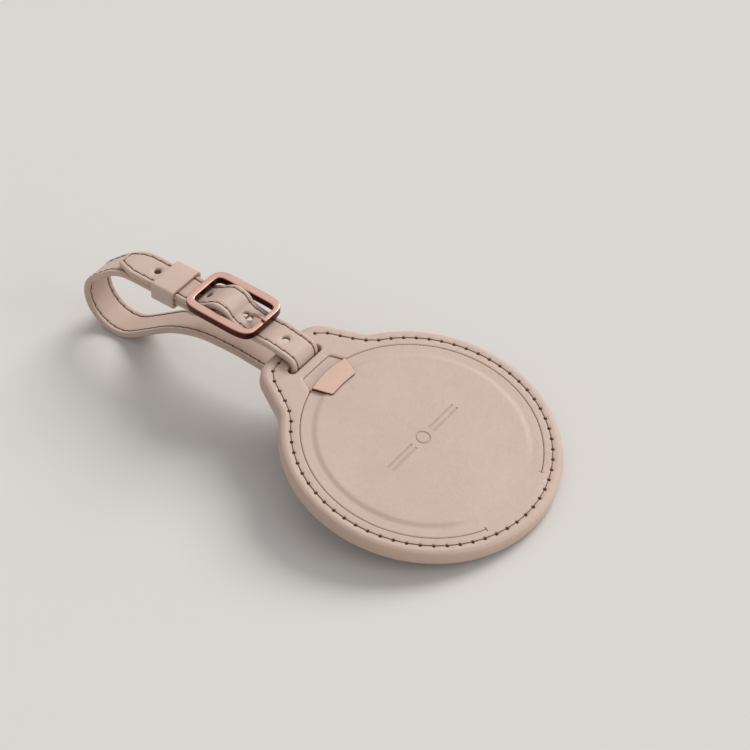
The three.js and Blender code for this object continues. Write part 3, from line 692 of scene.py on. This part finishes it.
def strap_place(points):
    """(run, across, height) to the row frame; height is measured outwards from the strap's middle."""
    s = points[:, 0]
    y = np.interp(s, strap_run, strap_path[:, 0]) + points[:, 2] * np.interp(s, strap_run, strap_side[:, 0])
    z = np.interp(s, strap_run, strap_path[:, 1]) + points[:, 2] * np.interp(s, strap_run, strap_side[:, 1])
    return to_row(np.column_stack([points[:, 1], y, z]))


def strap_half(s):
    return SKIVED_HALF + (STRAP_HALF - SKIVED_HALF) * np.clip((s - 23) / 8, 0, 1)


TIP_RUN, TIP_WIDE = 7.0, 2.3


def strap_wide(s):
    share = np.clip((STRAP_LENGTH - s) / TIP_RUN, 0, 1)
    return TIP_WIDE + (STRAP_WIDE - TIP_WIDE) * (1 - (1 - share) ** 1.5)


def run_at(y, low=-7.4):
    """Run of the strap's upper stretch at a given Y."""
    ok = (strap_run > 0.55 * STRAP_LENGTH) & (strap_path[:, 1] > low)
    i = np.where(ok)[0]
    return strap_run[i[np.argmin(np.abs(strap_path[i, 0] - y))]]


STRAP_PITCH = 2.9
SEAM_IN, SEAM_START = 1.5, 30.0
PUNCH_R, PUNCHES_Y, PRONG_HOLE_Y = 0.95, (45.2, 70.4, 87.9), 57.75


def strap_holes():
    """Stitch holes down both sides, which close in towards the tip, as (run, across)."""
    runs = np.linspace(SEAM_START, STRAP_LENGTH - SEAM_IN, 900)
    side = resample(np.column_stack([runs, strap_wide(runs) - SEAM_IN]), STRAP_PITCH)
    return side, side * [1, -1]


def build_strap():
    length = STRAP_LENGTH
    runs = np.linspace(length - TIP_RUN, length - 0.5, 20)
    flank = np.column_stack([runs, strap_wide(runs)])
    end = arc(length - 0.7, TIP_WIDE - 0.6, 0.7, 65, 0, 5)
    side = np.vstack([[[0, STRAP_WIDE]], flank, end])
    loop = fill_gaps(np.vstack([side * [1, -1], side[::-1]]), 0.4)
    punches = [circle_loop(run_at(y), 0, PUNCH_R) for y in PUNCHES_Y]
    s = run_at(PRONG_HOLE_Y)
    oblong = [arc(s + 0.5, 0, PUNCH_R, -90, 90, 12), arc(s - 0.5, 0, PUNCH_R, 90, 270, 12)]
    punches.append(np.vstack(oblong))
    beside_bar = np.abs(strap_path[:, 0] - (BAR[0] - 0.1)) < 2.15
    level_with_bar = np.abs(strap_path[:, 1] - (BAR[1] - 0.1)) < 1.65
    at_bar = beside_bar & level_with_bar & (strap_run < 40)
    s0, s1 = strap_run[at_bar].min(), strap_run[at_bar].max()
    punches.append(fill_gaps(np.array([[s0, -1.1], [s1, -1.1], [s1, 1.1], [s0, 1.1]]), 0.3))
    right, left = strap_holes()
    holes = np.vstack([right, left])
    line = np.vstack([resample(right, 0.15), resample(left, 0.15)])
    across = np.array([4.97, 4.85, 4.68, 4.45, 4.2, 3.95, 3.75, 3.55, 3.35, 3.15, 2.9, 2.2, 1.2])
    runs = np.arange(0.3, length - 0.2, 0.34)
    rows = []
    for a in across:
        wide = strap_wide(runs)
        x = np.where(a > 2.5, wide - (STRAP_WIDE - a), a)
        ok = x > 0.2
        rows += [np.column_stack([runs[ok], x[ok]]), np.column_stack([runs[ok], -x[ok]])]
    rows.append(np.column_stack([runs, np.zeros(len(runs))]))
    for punch in punches[:4]:
        rows += inset_rings(punch, (-0.12, -0.3))
    seeds = np.vstack(rows)
    shade = {}

    def height(points, d):
        half = strap_half(points[:, 0])
        to_line, to_hole = nearest(points, line), nearest(points, holes)
        live = smooth((points[:, 0] - 29) / 1.5)
        pit = 1 - smooth((to_hole - 0.16) / 0.26)
        sink = (0.1 * np.exp(-(to_line / 0.4) ** 2) + 0.22 * pit) * live
        # painted shade: the stitch holes are darkened for the shade inside them
        shade["hole"] = pit * live
        shade["d"] = d
        crown = 0.06 * np.exp(-((np.abs(points[:, 1]) - 4.35) / 0.5) ** 2) * live
        return half - rounded(d, np.minimum(0.62, half * 0.9)) - sink + crown * smooth(d / 0.4)

    strap = slab("leather_strap", [loop, *punches], seeds, height, lambda p, d: -height(p, d), strap_place,
                 double=True, wall=(0.5,), clear=0.1)
    n = len(strap.data.vertices)
    k = len(shade["d"])
    paint, hole = np.ones(n), np.zeros(n)
    side = 1 - smooth((shade["d"] - 0.12) / 0.4)
    paint[:k], paint[k:2 * k] = side, side
    hole[:k], hole[k:2 * k] = shade["hole"], shade["hole"]
    # painted shade: the walls of the punched holes and the bar slot take the dark hole colour for the shade
    # inside
    hole[2 * k + len(loop):] = 0.9
    set_attribute(strap, "paint", paint)
    set_attribute(strap, "hole", hole)
    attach(strap, "strap")
    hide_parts("strap_band")
    return strap, strap_threads(right, left)


def circle_loop(x, y, r, n=28):
    return arc(x, y, r, 0, 360, n)[:-1]


def strap_threads(right, left):
    """Thread on both faces; the outer face's thread crosses the tip."""
    out = []
    tip_cross = right[-1][None] * [1, 0]
    whole = np.vstack([right, tip_cross, left[::-1]])
    for sign, holes in ((1, whole), (-1, right), (-1, left)):
        pts = []
        for a, b in zip(holes, holes[1:]):
            slant = np.array([b[1] - a[1], a[0] - b[0]]) / np.linalg.norm(b - a) * 0.13
            for t, z in ((0, -0.35), (0.07, -0.18), (0.13, -0.03), (0.22, 0.03), (0.4, 0.06), (0.6, 0.06),
                         (0.78, 0.03), (0.87, -0.03), (0.93, -0.18)):
                p = a + (b - a) * t + slant * (1 - 2 * t)
                pts.append([p[0], p[1], sign * (strap_half(p[0]) - 0.03 + z)])
        pts.append([*holes[-1], sign * (strap_half(holes[-1][0]) - 0.3)])
        out.append(np.array(pts))
    paths, normals = [], []
    for path in out:
        moved = (strap_place(path) - CENTRE) @ AXES / MM
        lifted = (strap_place(path + [0, 0, 1]) - CENTRE) @ AXES / MM
        paths.append((moved, 0.105))
        normals.append(lifted - moved)
    thread = join_tubes("strap_thread", paths, to_row, 6, normals)
    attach(thread, "strap")
    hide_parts("strap_seam_left", "strap_seam_right")
    return thread


# ---- keeper and buckle ----
def ring_mesh(name, sections, place):
    """Closed ring from equal cross-sections that follow each other round."""
    faces = bands(len(sections), len(sections[0]), closed=True)
    return mesh_object(name, place(np.vstack(sections)), [faces], sharp=30)


def fix_normals(obj, sharp=None):
    """Turns a closed mesh right side out, and marks edges steeper than `sharp` degrees."""
    bm = bmesh.new()
    bm.from_mesh(obj.data)
    bmesh.ops.recalc_face_normals(bm, faces=bm.faces)
    if bm.calc_volume(signed=True) < 0:
        bmesh.ops.reverse_faces(bm, faces=bm.faces)
    bm.to_mesh(obj.data)
    bm.free()
    obj.data.shade_smooth()
    if sharp is not None:
        obj.data.set_sharp_from_angle(angle=radians(sharp))


def tilted(y0, z0, slope):
    """Placing for points given about (y0, z0) and turned by a slope about X."""
    ca, sa = math.cos(slope), math.sin(slope)

    def place(points):
        x, y, z = points.T
        return to_row(np.column_stack([x, y0 + y * ca - z * sa, z0 + y * sa + z * ca]))

    return place


def rounded_box(cx, cz, r, n):
    """Rectangle with round corners about (+-cx, +-cz)."""
    corners = ((1, 1, 0), (-1, 1, 90), (-1, -1, 180), (1, -1, 270))
    return np.vstack([arc(sx * cx, sz * cz, r, a, a + 90, n) for sx, sz, a in corners])


STACK_SLOPE = math.atan2(-2.8, 16.5)
KEEPER_Y, KEEPER_Z = 81.65, -4.66


def build_keeper():
    length, tight = 7.4, 0.5
    inner = np.array([STRAP_WIDE + 0.15, 2 * STRAP_HALF + 0.33])

    h = length / 2
    half = [(0.0, h - 0.25), (0.07, h - 0.07), (0.25, h), (0.65, h), (0.83, h - 0.07), (0.9, h - 0.25),
            (0.9, h - 0.9)]
    profile = [(grow, -along) for grow, along in half] + [(0.9, 0.0)] + half[::-1]
    rings = []
    for grow, along in profile:
        corner = tight + grow * 0.75
        outline = rounded_box(*(inner + grow - corner), corner, 8)
        rings.append(np.column_stack([outline[:, 0], np.full(len(outline), along), outline[:, 1]]))
    keeper = ring_mesh("leather_keeper", rings, tilted(KEEPER_Y, KEEPER_Z, STACK_SLOPE))
    fix_normals(keeper, 50)
    n = len(rings[0])
    paint = np.repeat([0.7 if g < 0.86 else 0.0 for g, _ in profile], n)
    set_attribute(keeper, "paint", paint)
    set_attribute(keeper, "hole", np.zeros(len(paint)))
    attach(keeper, "keeper")
    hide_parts("keeper_loop")
    return keeper


def superellipse(half, power, n):
    t = np.linspace(0, 2 * math.pi, n, endpoint=False)
    c, s = np.cos(t), np.sin(t)
    reach = (np.abs(c) ** power + np.abs(s) ** power) ** (-1 / power)
    return np.column_stack([half[0] * reach * c, half[1] * reach * s])


def rod(name, ends, radius, n=40, soft=0.12):
    """Round rod along X with softened ends."""
    x0, x1 = ends
    stations = [(x0, 0.0), (x0, radius - soft), (x0 + soft * 0.3, radius - soft * 0.3), (x0 + soft, radius),
                (x1 - soft, radius), (x1 - soft * 0.3, radius - soft * 0.3), (x1, radius - soft), (x1, 0.0)]
    t = np.linspace(0, 2 * math.pi, n, endpoint=False)
    verts = [[x0, BAR[0], BAR[1]]]
    for x, r in stations[1:-1]:
        verts += [[x, BAR[0] + r * math.cos(a), BAR[1] + r * math.sin(a)] for a in t]
    verts.append([x1, BAR[0], BAR[1]])
    faces = [[0, 1 + (k + 1) % n, 1 + k] for k in range(n)]
    faces += bands(len(stations) - 2, n, base=1)
    last, base = len(verts) - 1, 1 + (len(stations) - 3) * n
    faces += [[last, base + k, base + (k + 1) % n] for k in range(n)]
    obj = mesh_object(name, to_row(np.array(verts)), [faces])
    fix_normals(obj, 40)
    return obj


FRAME_Y, FRAME_TOP, FRAME_SLOPE = 63.02, 3.13, -8.1
FRAME_THICK, FRAME_HALF, FRAME_POWER, FRAME_SHIFT = 2.3, (8.15, 11.27), 5.5, 0.25
WINDOW_HALF, WINDOW_POWER, WINDOW_SHIFT = (5.7, 9.6), 9, 0.5


def build_buckle():
    n, half_t, soft = 640, FRAME_THICK / 2, 0.25
    outside = superellipse(FRAME_HALF, FRAME_POWER, n) - [0, FRAME_SHIFT]
    inside = superellipse(WINDOW_HALF, WINDOW_POWER, n) - [0, WINDOW_SHIFT]
    turn = np.radians(np.linspace(180, 90, 6))
    corner = np.column_stack([soft + soft * np.cos(turn), half_t - soft + soft * np.sin(turn)])
    top = [(x, z, 0) for x, z in corner] + [(-x, z, 1) for x, z in corner[::-1]]
    profile = top + [(x, -z, inner) for x, z, inner in top[::-1]]
    toward = inside - outside
    toward /= np.linalg.norm(toward, axis=1)[:, None]
    sections = []
    for i in range(n):
        base = (outside[i], inside[i])
        sections.append(np.array([[*(base[inner] + toward[i] * x), z] for x, z, inner in profile]))
    rail = ring_mesh("buckle_rail", sections, tilted(FRAME_Y, FRAME_TOP - half_t, radians(FRAME_SLOPE)))
    fix_normals(rail)
    bosses = [rod("buckle_boss_left", (-7.1, -5.9), 0.85), rod("buckle_boss_right", (5.9, 7.1), 0.85)]
    bar = rod("buckle_centre_bar", (-7, 7), 0.6)
    # painted shade: the rail's walls and underside, and most of the bosses and bar, get the dark side colour
    # as a dark reflection
    set_attribute(rail, "side", np.tile([float(smooth((half_t - z) / soft)) for x, z, inner in profile], n))
    for o in (*bosses, bar):
        set_attribute(o, "side", np.full(len(o.data.vertices), 0.8))
    for o in (rail, *bosses, bar):
        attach(o, "buckle")
    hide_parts("buckle_frame")
    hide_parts("buckle_bar")
    return [rail, *bosses, bar, *build_prong()]


def build_prong():
    line = np.array([(0, 62.5, 0.75), (0, 61.6, 0.2), (0.1, 60.3, -0.35), (0.2, 59.15, -0.35),
                     (0.28, 58.45, 0.25), (0.3, 57.9, 1.2), (0.3, 57.3, 2.2), (0.28, 56.6, 3),
                     (0.15, 55.8, 3.65), (0, 54.8, 4.15), (-0.25, 53.4, 4.81), (-0.5, 51.9, 5.11),
                     (-0.55, 51.55, 5.15)])
    path = resample(catmull(line, 16), 0.15)
    along = np.gradient(path, axis=0)
    along /= np.linalg.norm(along, axis=1)[:, None]
    up = np.column_stack([np.zeros(len(path)), -along[:, 2], along[:, 1]])
    wide, thick, soft = 0.45, 0.3, 0.12
    section = rounded_box(wide - soft, thick - soft, soft, 4)
    m = len(section)
    verts = [p + [x, 0, 0] + u * z for p, u in zip(path, up) for x, z in section]
    faces = bands(len(path), m)
    faces.append(list(range(m))[::-1])
    faces.append(list(range(len(verts) - m, len(verts))))
    shank = mesh_object("prong_shank", to_row(np.array(verts)), [faces])
    fix_normals(shank, 50)
    rim = ((-0.75, 0.78), (-0.65, 0.68), (0.65, 0.68), (0.75, 0.78), (0.75, 1.25), (0.65, 1.35),
           (-0.65, 1.35), (-0.75, 1.25))
    sections = [np.array([[x, BAR[0] + r * math.cos(a), BAR[1] + r * math.sin(a)] for x, r in rim])
                for a in np.linspace(0, 2 * math.pi, 48, endpoint=False)]
    eye = ring_mesh("prong_eye", sections, to_row)
    fix_normals(eye, 35)
    # painted shade: the prong's underside and the whole eye are marked for the dark side colour
    below = np.tile((section[:, 1] > thick - 0.05).astype(float), len(path))
    set_attribute(shank, "side", below)
    set_attribute(eye, "side", np.ones(len(eye.data.vertices)))
    for o in (shank, eye):
        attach(o, "prong")
    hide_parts("buckle_prong")
    return [shank, eye]


# ---- materials ----
class Nodes:
    """Short hand for building one material's nodes."""

    def __init__(self, name):
        self.material = bpy.data.materials.new(name)
        self.material.use_nodes = True
        self.tree = self.material.node_tree
        self.shader = self.tree.nodes["Principled BSDF"]
        self.place = self.add("ShaderNodeTexCoord").outputs["Object"]

    def add(self, kind, **values):
        node = self.tree.nodes.new(kind)
        for key, value in values.items():
            setattr(node, key, value)
        return node

    def link(self, out, into):
        self.tree.links.new(out, into)

    def put(self, node, key, value):
        socket = node.inputs[key]
        if hasattr(value, "is_linked") or hasattr(value, "node"):
            self.link(value, socket)
        else:
            socket.default_value = value

    def noise(self, scale, detail=3.0, rough=0.55):
        node = self.add("ShaderNodeTexNoise")
        self.link(self.place, node.inputs["Vector"])
        node.inputs["Scale"].default_value = scale
        node.inputs["Detail"].default_value = detail
        node.inputs["Roughness"].default_value = rough
        return node.outputs["Fac"]

    def voronoi(self, scale, feature="F1", smoothness=None):
        node = self.add("ShaderNodeTexVoronoi", feature=feature)
        self.link(self.place, node.inputs["Vector"])
        node.inputs["Scale"].default_value = scale
        if smoothness is not None:
            node.inputs["Smoothness"].default_value = smoothness
        return node.outputs["Distance"]

    def math(self, op, a, b=0.0):
        node = self.add("ShaderNodeMath", operation=op)
        self.put(node, 0, a)
        self.put(node, 1, b)
        return node.outputs[0]

    def remap(self, value, low, high, to_low=0.0, to_high=1.0):
        node = self.add("ShaderNodeMapRange")
        self.put(node, "Value", value)
        for key, v in (("From Min", low), ("From Max", high), ("To Min", to_low), ("To Max", to_high)):
            node.inputs[key].default_value = v
        return node.outputs[0]

    def mix(self, factor, a, b):
        node = self.add("ShaderNodeMix", data_type="RGBA")
        self.put(node, "Factor", factor)
        for index, value in ((6, a), (7, b)):
            if isinstance(value, tuple):
                node.inputs[index].default_value = (*value, 1.0)
            else:
                self.link(value, node.inputs[index])
        return node.outputs[2]

    def attribute(self, name):
        return self.add("ShaderNodeAttribute", attribute_name=name).outputs["Fac"]

    def bump(self, height, strength, distance):
        node = self.add("ShaderNodeBump")
        node.inputs["Strength"].default_value = strength
        node.inputs["Distance"].default_value = distance
        self.link(height, node.inputs["Height"])
        return node.outputs["Normal"]

    def finish(self, colour, rough, normal=None, **fixed):
        self.put(self.shader, "Base Color", colour if not isinstance(colour, tuple) else (*colour, 1.0))
        self.put(self.shader, "Roughness", rough)
        if normal is not None:
            self.link(normal, self.shader.inputs["Normal"])
        for key, value in fixed.items():
            self.shader.inputs[key.replace("_", " ")].default_value = value
        return self.material


def srgb(r, g, b):
    f = lambda v: (v / 255 / 12.92) if v / 255 <= 0.04045 else ((v / 255 + 0.055) / 1.055) ** 2.4
    return (f(r), f(g), f(b))


def toned(tone, share):
    """An sRGB tone as a linear colour, taken down to a share."""
    return tuple(c * share for c in srgb(*tone))


# The hole colour is painted shade, put into stitch holes and punched holes.
def leather(name, face, side, hole=(70, 42, 33), grain=0.5, painted=True):
    m = Nodes(name)
    pale = tuple(min(1.0, c * 1.02) for c in srgb(*face))
    deep = toned(face, 0.96)
    cloud = m.noise(55.0, 4.0, 0.6)
    fleck = m.noise(900.0, 2.0, 0.6)
    colour = m.mix(m.remap(cloud, 0.35, 0.65), deep, pale)
    colour = m.mix(m.remap(fleck, 0.45, 0.7, 0.0, 0.12), colour, toned(face, 0.8))
    colour = m.mix(m.math("MULTIPLY", m.attribute("mark"), 0.3), colour, toned(face, 0.72))
    cells = m.voronoi(1500.0, "SMOOTH_F1", 0.4)
    pores = m.voronoi(3600.0, "F1")
    fine = m.noise(5200.0, 3.0, 0.6)
    height = m.math("ADD", m.math("MULTIPLY", cells, 0.5), m.math("MULTIPLY", fine, 0.35))
    height = m.math("ADD", height, m.math("MULTIPLY", pores, 0.25))
    rough = m.remap(m.noise(700.0, 3.0), 0.3, 0.7, 0.5, 0.64)
    if painted:
        paint = m.attribute("paint")
        # painted shade: where the hole attribute is set, the colour goes to the dark hole colour for shade
        # inside holes
        pit = m.attribute("hole")
        edge = m.mix(m.remap(cloud, 0.35, 0.65), toned(side, 0.94), srgb(*side))
        colour = m.mix(paint, colour, edge)
        colour = m.mix(pit, colour, srgb(*hole))
        keep = m.math("SUBTRACT", 1.0, m.math("MULTIPLY", paint, 0.7))
        height = m.math("MULTIPLY", height, keep)
        rough = m.math("SUBTRACT", rough, m.math("MULTIPLY", paint, 0.05))
    normal = m.bump(height, grain, 0.00008)
    return m.finish(colour, rough, normal, Sheen_Weight=0.08, Sheen_Roughness=0.5, Specular_IOR_Level=0.4)


def thread_material():
    m = Nodes("waxed_thread")
    wave = m.add("ShaderNodeTexWave", wave_type="BANDS", bands_direction="DIAGONAL")
    m.link(m.place, wave.inputs["Vector"])
    wave.inputs["Scale"].default_value = 1400.0
    wave.inputs["Distortion"].default_value = 2.0
    fibre = m.noise(4000.0, 4.0, 0.7)
    colour = m.mix(m.remap(fibre, 0.3, 0.7), srgb(84, 52, 40), srgb(126, 84, 66))
    height = m.math("ADD", wave.outputs["Fac"], m.math("MULTIPLY", fibre, 0.5))
    return m.finish(colour, m.remap(fibre, 0.3, 0.7, 0.55, 0.75), m.bump(height, 0.6, 0.00005))


def metal(name, tone, side):
    m = Nodes(name)
    haze = m.noise(140.0, 3.0, 0.6)
    stretch = m.add("ShaderNodeMapping")
    m.link(m.place, stretch.inputs["Vector"])
    stretch.inputs["Scale"].default_value = (1.0, 0.06, 1.0)
    lines = m.add("ShaderNodeTexNoise")
    m.link(stretch.outputs["Vector"], lines.inputs["Vector"])
    lines.inputs["Scale"].default_value = 9000.0
    lines.inputs["Detail"].default_value = 2.0
    grainy = m.noise(6500.0, 2.0)
    face = m.mix(m.remap(haze, 0.35, 0.65), toned(tone, 0.93), srgb(*tone))
    # painted shade: marked walls and undersides take the dark side colour in place of the dark surroundings
    # they reflect
    colour = m.mix(m.attribute("side"), face, srgb(*side))
    mottle = m.math("ADD", m.math("MULTIPLY", haze, 0.6), m.math("MULTIPLY", lines.outputs["Fac"], 0.4))
    roughness = m.remap(mottle, 0.35, 0.65, 0.2, 0.32)
    height = m.math("ADD", m.math("MULTIPLY", lines.outputs["Fac"], 0.6), m.math("MULTIPLY", grainy, 0.4))
    return m.finish(colour, roughness, m.bump(height, 0.12, 0.00003), Metallic=1.0)


def plain(name, tone, rough, metallic=0.0, bump=0.15):
    """Moulded, printed or stamped surfaces with a fine texture."""
    m = Nodes(name)
    mottle = m.noise(135.0, 3.0)
    fine = m.noise(3600.0, 2.0)
    colour = m.mix(m.remap(mottle, 0.35, 0.65), toned(tone, 0.88), srgb(*tone))
    roughness = m.remap(fine, 0.3, 0.7, rough - 0.06, rough + 0.06)
    return m.finish(colour, roughness, m.bump(fine, bump, 0.00004), Metallic=metallic)


def board_material():
    m = Nodes("solder_mask")
    tracks = m.add("ShaderNodeTexBrick")
    m.link(m.place, tracks.inputs["Vector"])
    for key, value in (("Scale", 420.0), ("Mortar Size", 0.06), ("Brick Width", 0.9), ("Row Height", 0.28)):
        tracks.inputs[key].default_value = value
    fine = m.noise(2500.0, 3.0)
    colour = m.mix(tracks.outputs["Fac"], srgb(24, 70, 48), srgb(48, 104, 72))
    return m.finish(colour, m.remap(fine, 0.3, 0.7, 0.28, 0.4), m.bump(tracks.outputs["Fac"], 0.25, 0.00003))


def card_material():
    m = Nodes("ruled_card")
    wave = m.add("ShaderNodeTexWave", wave_type="BANDS", bands_direction="Y", wave_profile="SIN")
    m.link(m.place, wave.inputs["Vector"])
    wave.inputs["Scale"].default_value = 45.0
    rule = m.remap(wave.outputs["Fac"], 0.985, 1.0, 0.0, 0.7)
    fibre = m.noise(3000.0, 4.0, 0.7)
    paper = m.mix(m.remap(fibre, 0.3, 0.7), srgb(232, 224, 210), srgb(243, 238, 228))
    return m.finish(m.mix(rule, paper, srgb(150, 128, 118)), m.remap(fibre, 0.3, 0.7, 0.75, 0.9),
                    m.bump(fibre, 0.2, 0.00003))


def clear_material():
    m = Nodes("clear_film")
    haze = m.noise(60.0, 3.0)
    scratch = m.noise(5000.0, 2.0)
    m.shader.inputs["Alpha"].default_value = 0.35
    return m.finish(m.mix(m.remap(haze, 0.4, 0.6), srgb(226, 232, 234), srgb(238, 242, 243)),
                    m.remap(scratch, 0.3, 0.7, 0.06, 0.14), m.bump(scratch, 0.05, 0.00002))


def assign(objects, material):
    for o in objects:
        o.data.materials.clear()
        o.data.materials.append(material)


# ---- build ----
ring, back, seam, flap, core, tongue, tab = build_tag()
strap, strap_thread = build_strap()
keeper = build_keeper()
metal_parts = build_buckle()

PINK, PALE_PINK, SIDE = (190, 166, 153), (197, 172, 159), (197, 171, 155)
body_leather = leather("blush_leather", PINK, SIDE)
strap_leather = leather("blush_strap_leather", PALE_PINK, SIDE, grain=0.4)
assign([ring, back, flap], body_leather)
assign([strap, keeper], strap_leather)
assign([core], leather("core_fibre", (190, 158, 142), SIDE, grain=0.6, painted=False))
assign([tongue], leather("tongue_leather", PINK, SIDE, painted=False))
assign([tab], leather("tan_leather", (202, 168, 150), (84, 42, 30)))
assign([seam, strap_thread], thread_material())
# the second tone is the painted shade for the buckle's walls and undersides
rose = metal("rose_gold_plate", (200, 162, 148), (84, 38, 28))
assign(metal_parts, rose)

nodes = frame["nodes"]
white = plain("shell_moulding", (233, 230, 225), 0.5)
dark = plain("dark_moulding", (58, 58, 62), 0.5)
steel = plain("nickel_steel", (196, 198, 202), 0.3, metallic=1.0, bump=0.08)
copper = plain("bare_copper", (206, 140, 100), 0.34, metallic=1.0, bump=0.1)
looks = {"module_upper_shell": white, "module_lower_shell": white, "circuit_board": board_material(),
         "charging_coil": copper, "ferrite_sheet": dark, "battery_cell": steel, "radio_can": steel,
         "radio_antenna": copper, "sound_disc": copper, "dome_switch": steel, "button_cap": dark,
         "id_card": card_material(), "card_window": clear_material(), "light_pipe": clear_material()}
for name, look in looks.items():
    node = nodes[name]
    while len(node.data.materials) < 1:
        node.data.materials.append(None)
    for holder in node.material_slots:
        holder.link = "OBJECT"
        holder.material = look

# ---- floor, light, camera ----
FLOOR_HALF = 8.0
floor_mesh = bpy.data.meshes.new("floor")
corners = [(x * FLOOR_HALF, y * FLOOR_HALF, 0) for x, y in ((-1, -1), (1, -1), (1, 1), (-1, 1))]
floor_mesh.from_pydata(corners, [], [(0, 1, 2, 3)])
floor = bpy.data.objects.new("floor", floor_mesh)
floor.location = (0, 0, -0.00005)
bpy.context.scene.collection.objects.link(floor)
ground = Nodes("pale_floor")
assign([floor], ground.finish((0.64, 0.62, 0.6), 0.9))

world = bpy.data.worlds.new("studio")
bpy.context.scene.world = world
world.use_nodes = True
background = world.node_tree.nodes["Background"]
background.inputs["Color"].default_value = (1.0, 0.99, 0.98, 1)
background.inputs["Strength"].default_value = 0.5

key_data = bpy.data.lights.new("key", "SUN")
key_data.energy, key_data.angle, key_data.color = 2.25, radians(32), (1.0, 0.985, 0.965)
key = bpy.data.objects.new("key", key_data)
key.rotation_mode = "QUATERNION"
key.rotation_quaternion = Vector((-0.9, 0.08, -0.75)).to_track_quat("-Z", "Y")
bpy.context.scene.collection.objects.link(key)


def softbox(name, place, power, width):
    data = bpy.data.lights.new(name, "AREA")
    data.energy, data.size = power, width
    obj = bpy.data.objects.new(name, data)
    obj.location = place
    obj.rotation_mode = "QUATERNION"
    obj.rotation_quaternion = (-Vector(place)).to_track_quat("-Z", "Y")
    bpy.context.scene.collection.objects.link(obj)


softbox("top_softbox", (1.3, 1.1, 1.9), 5.0, 1.6)
softbox("near_softbox", (0.2, -1.7, 0.6), 8.0, 1.2)

camera_data = bpy.data.cameras.new("camera")
camera_data.sensor_width = 36.0
camera_data.lens = 134.09
camera_data.clip_start, camera_data.clip_end = 0.05, 20.0
camera = bpy.data.objects.new("camera", camera_data)
camera.rotation_mode = "QUATERNION"
camera.location = (-0.410278, -0.349455, 0.510293)
camera.rotation_quaternion = (0.8153218, 0.3653812, -0.1657096, -0.4174774)
bpy.context.scene.collection.objects.link(camera)
bpy.context.scene.camera = camera
bpy.context.scene.view_settings.view_transform = "Standard"
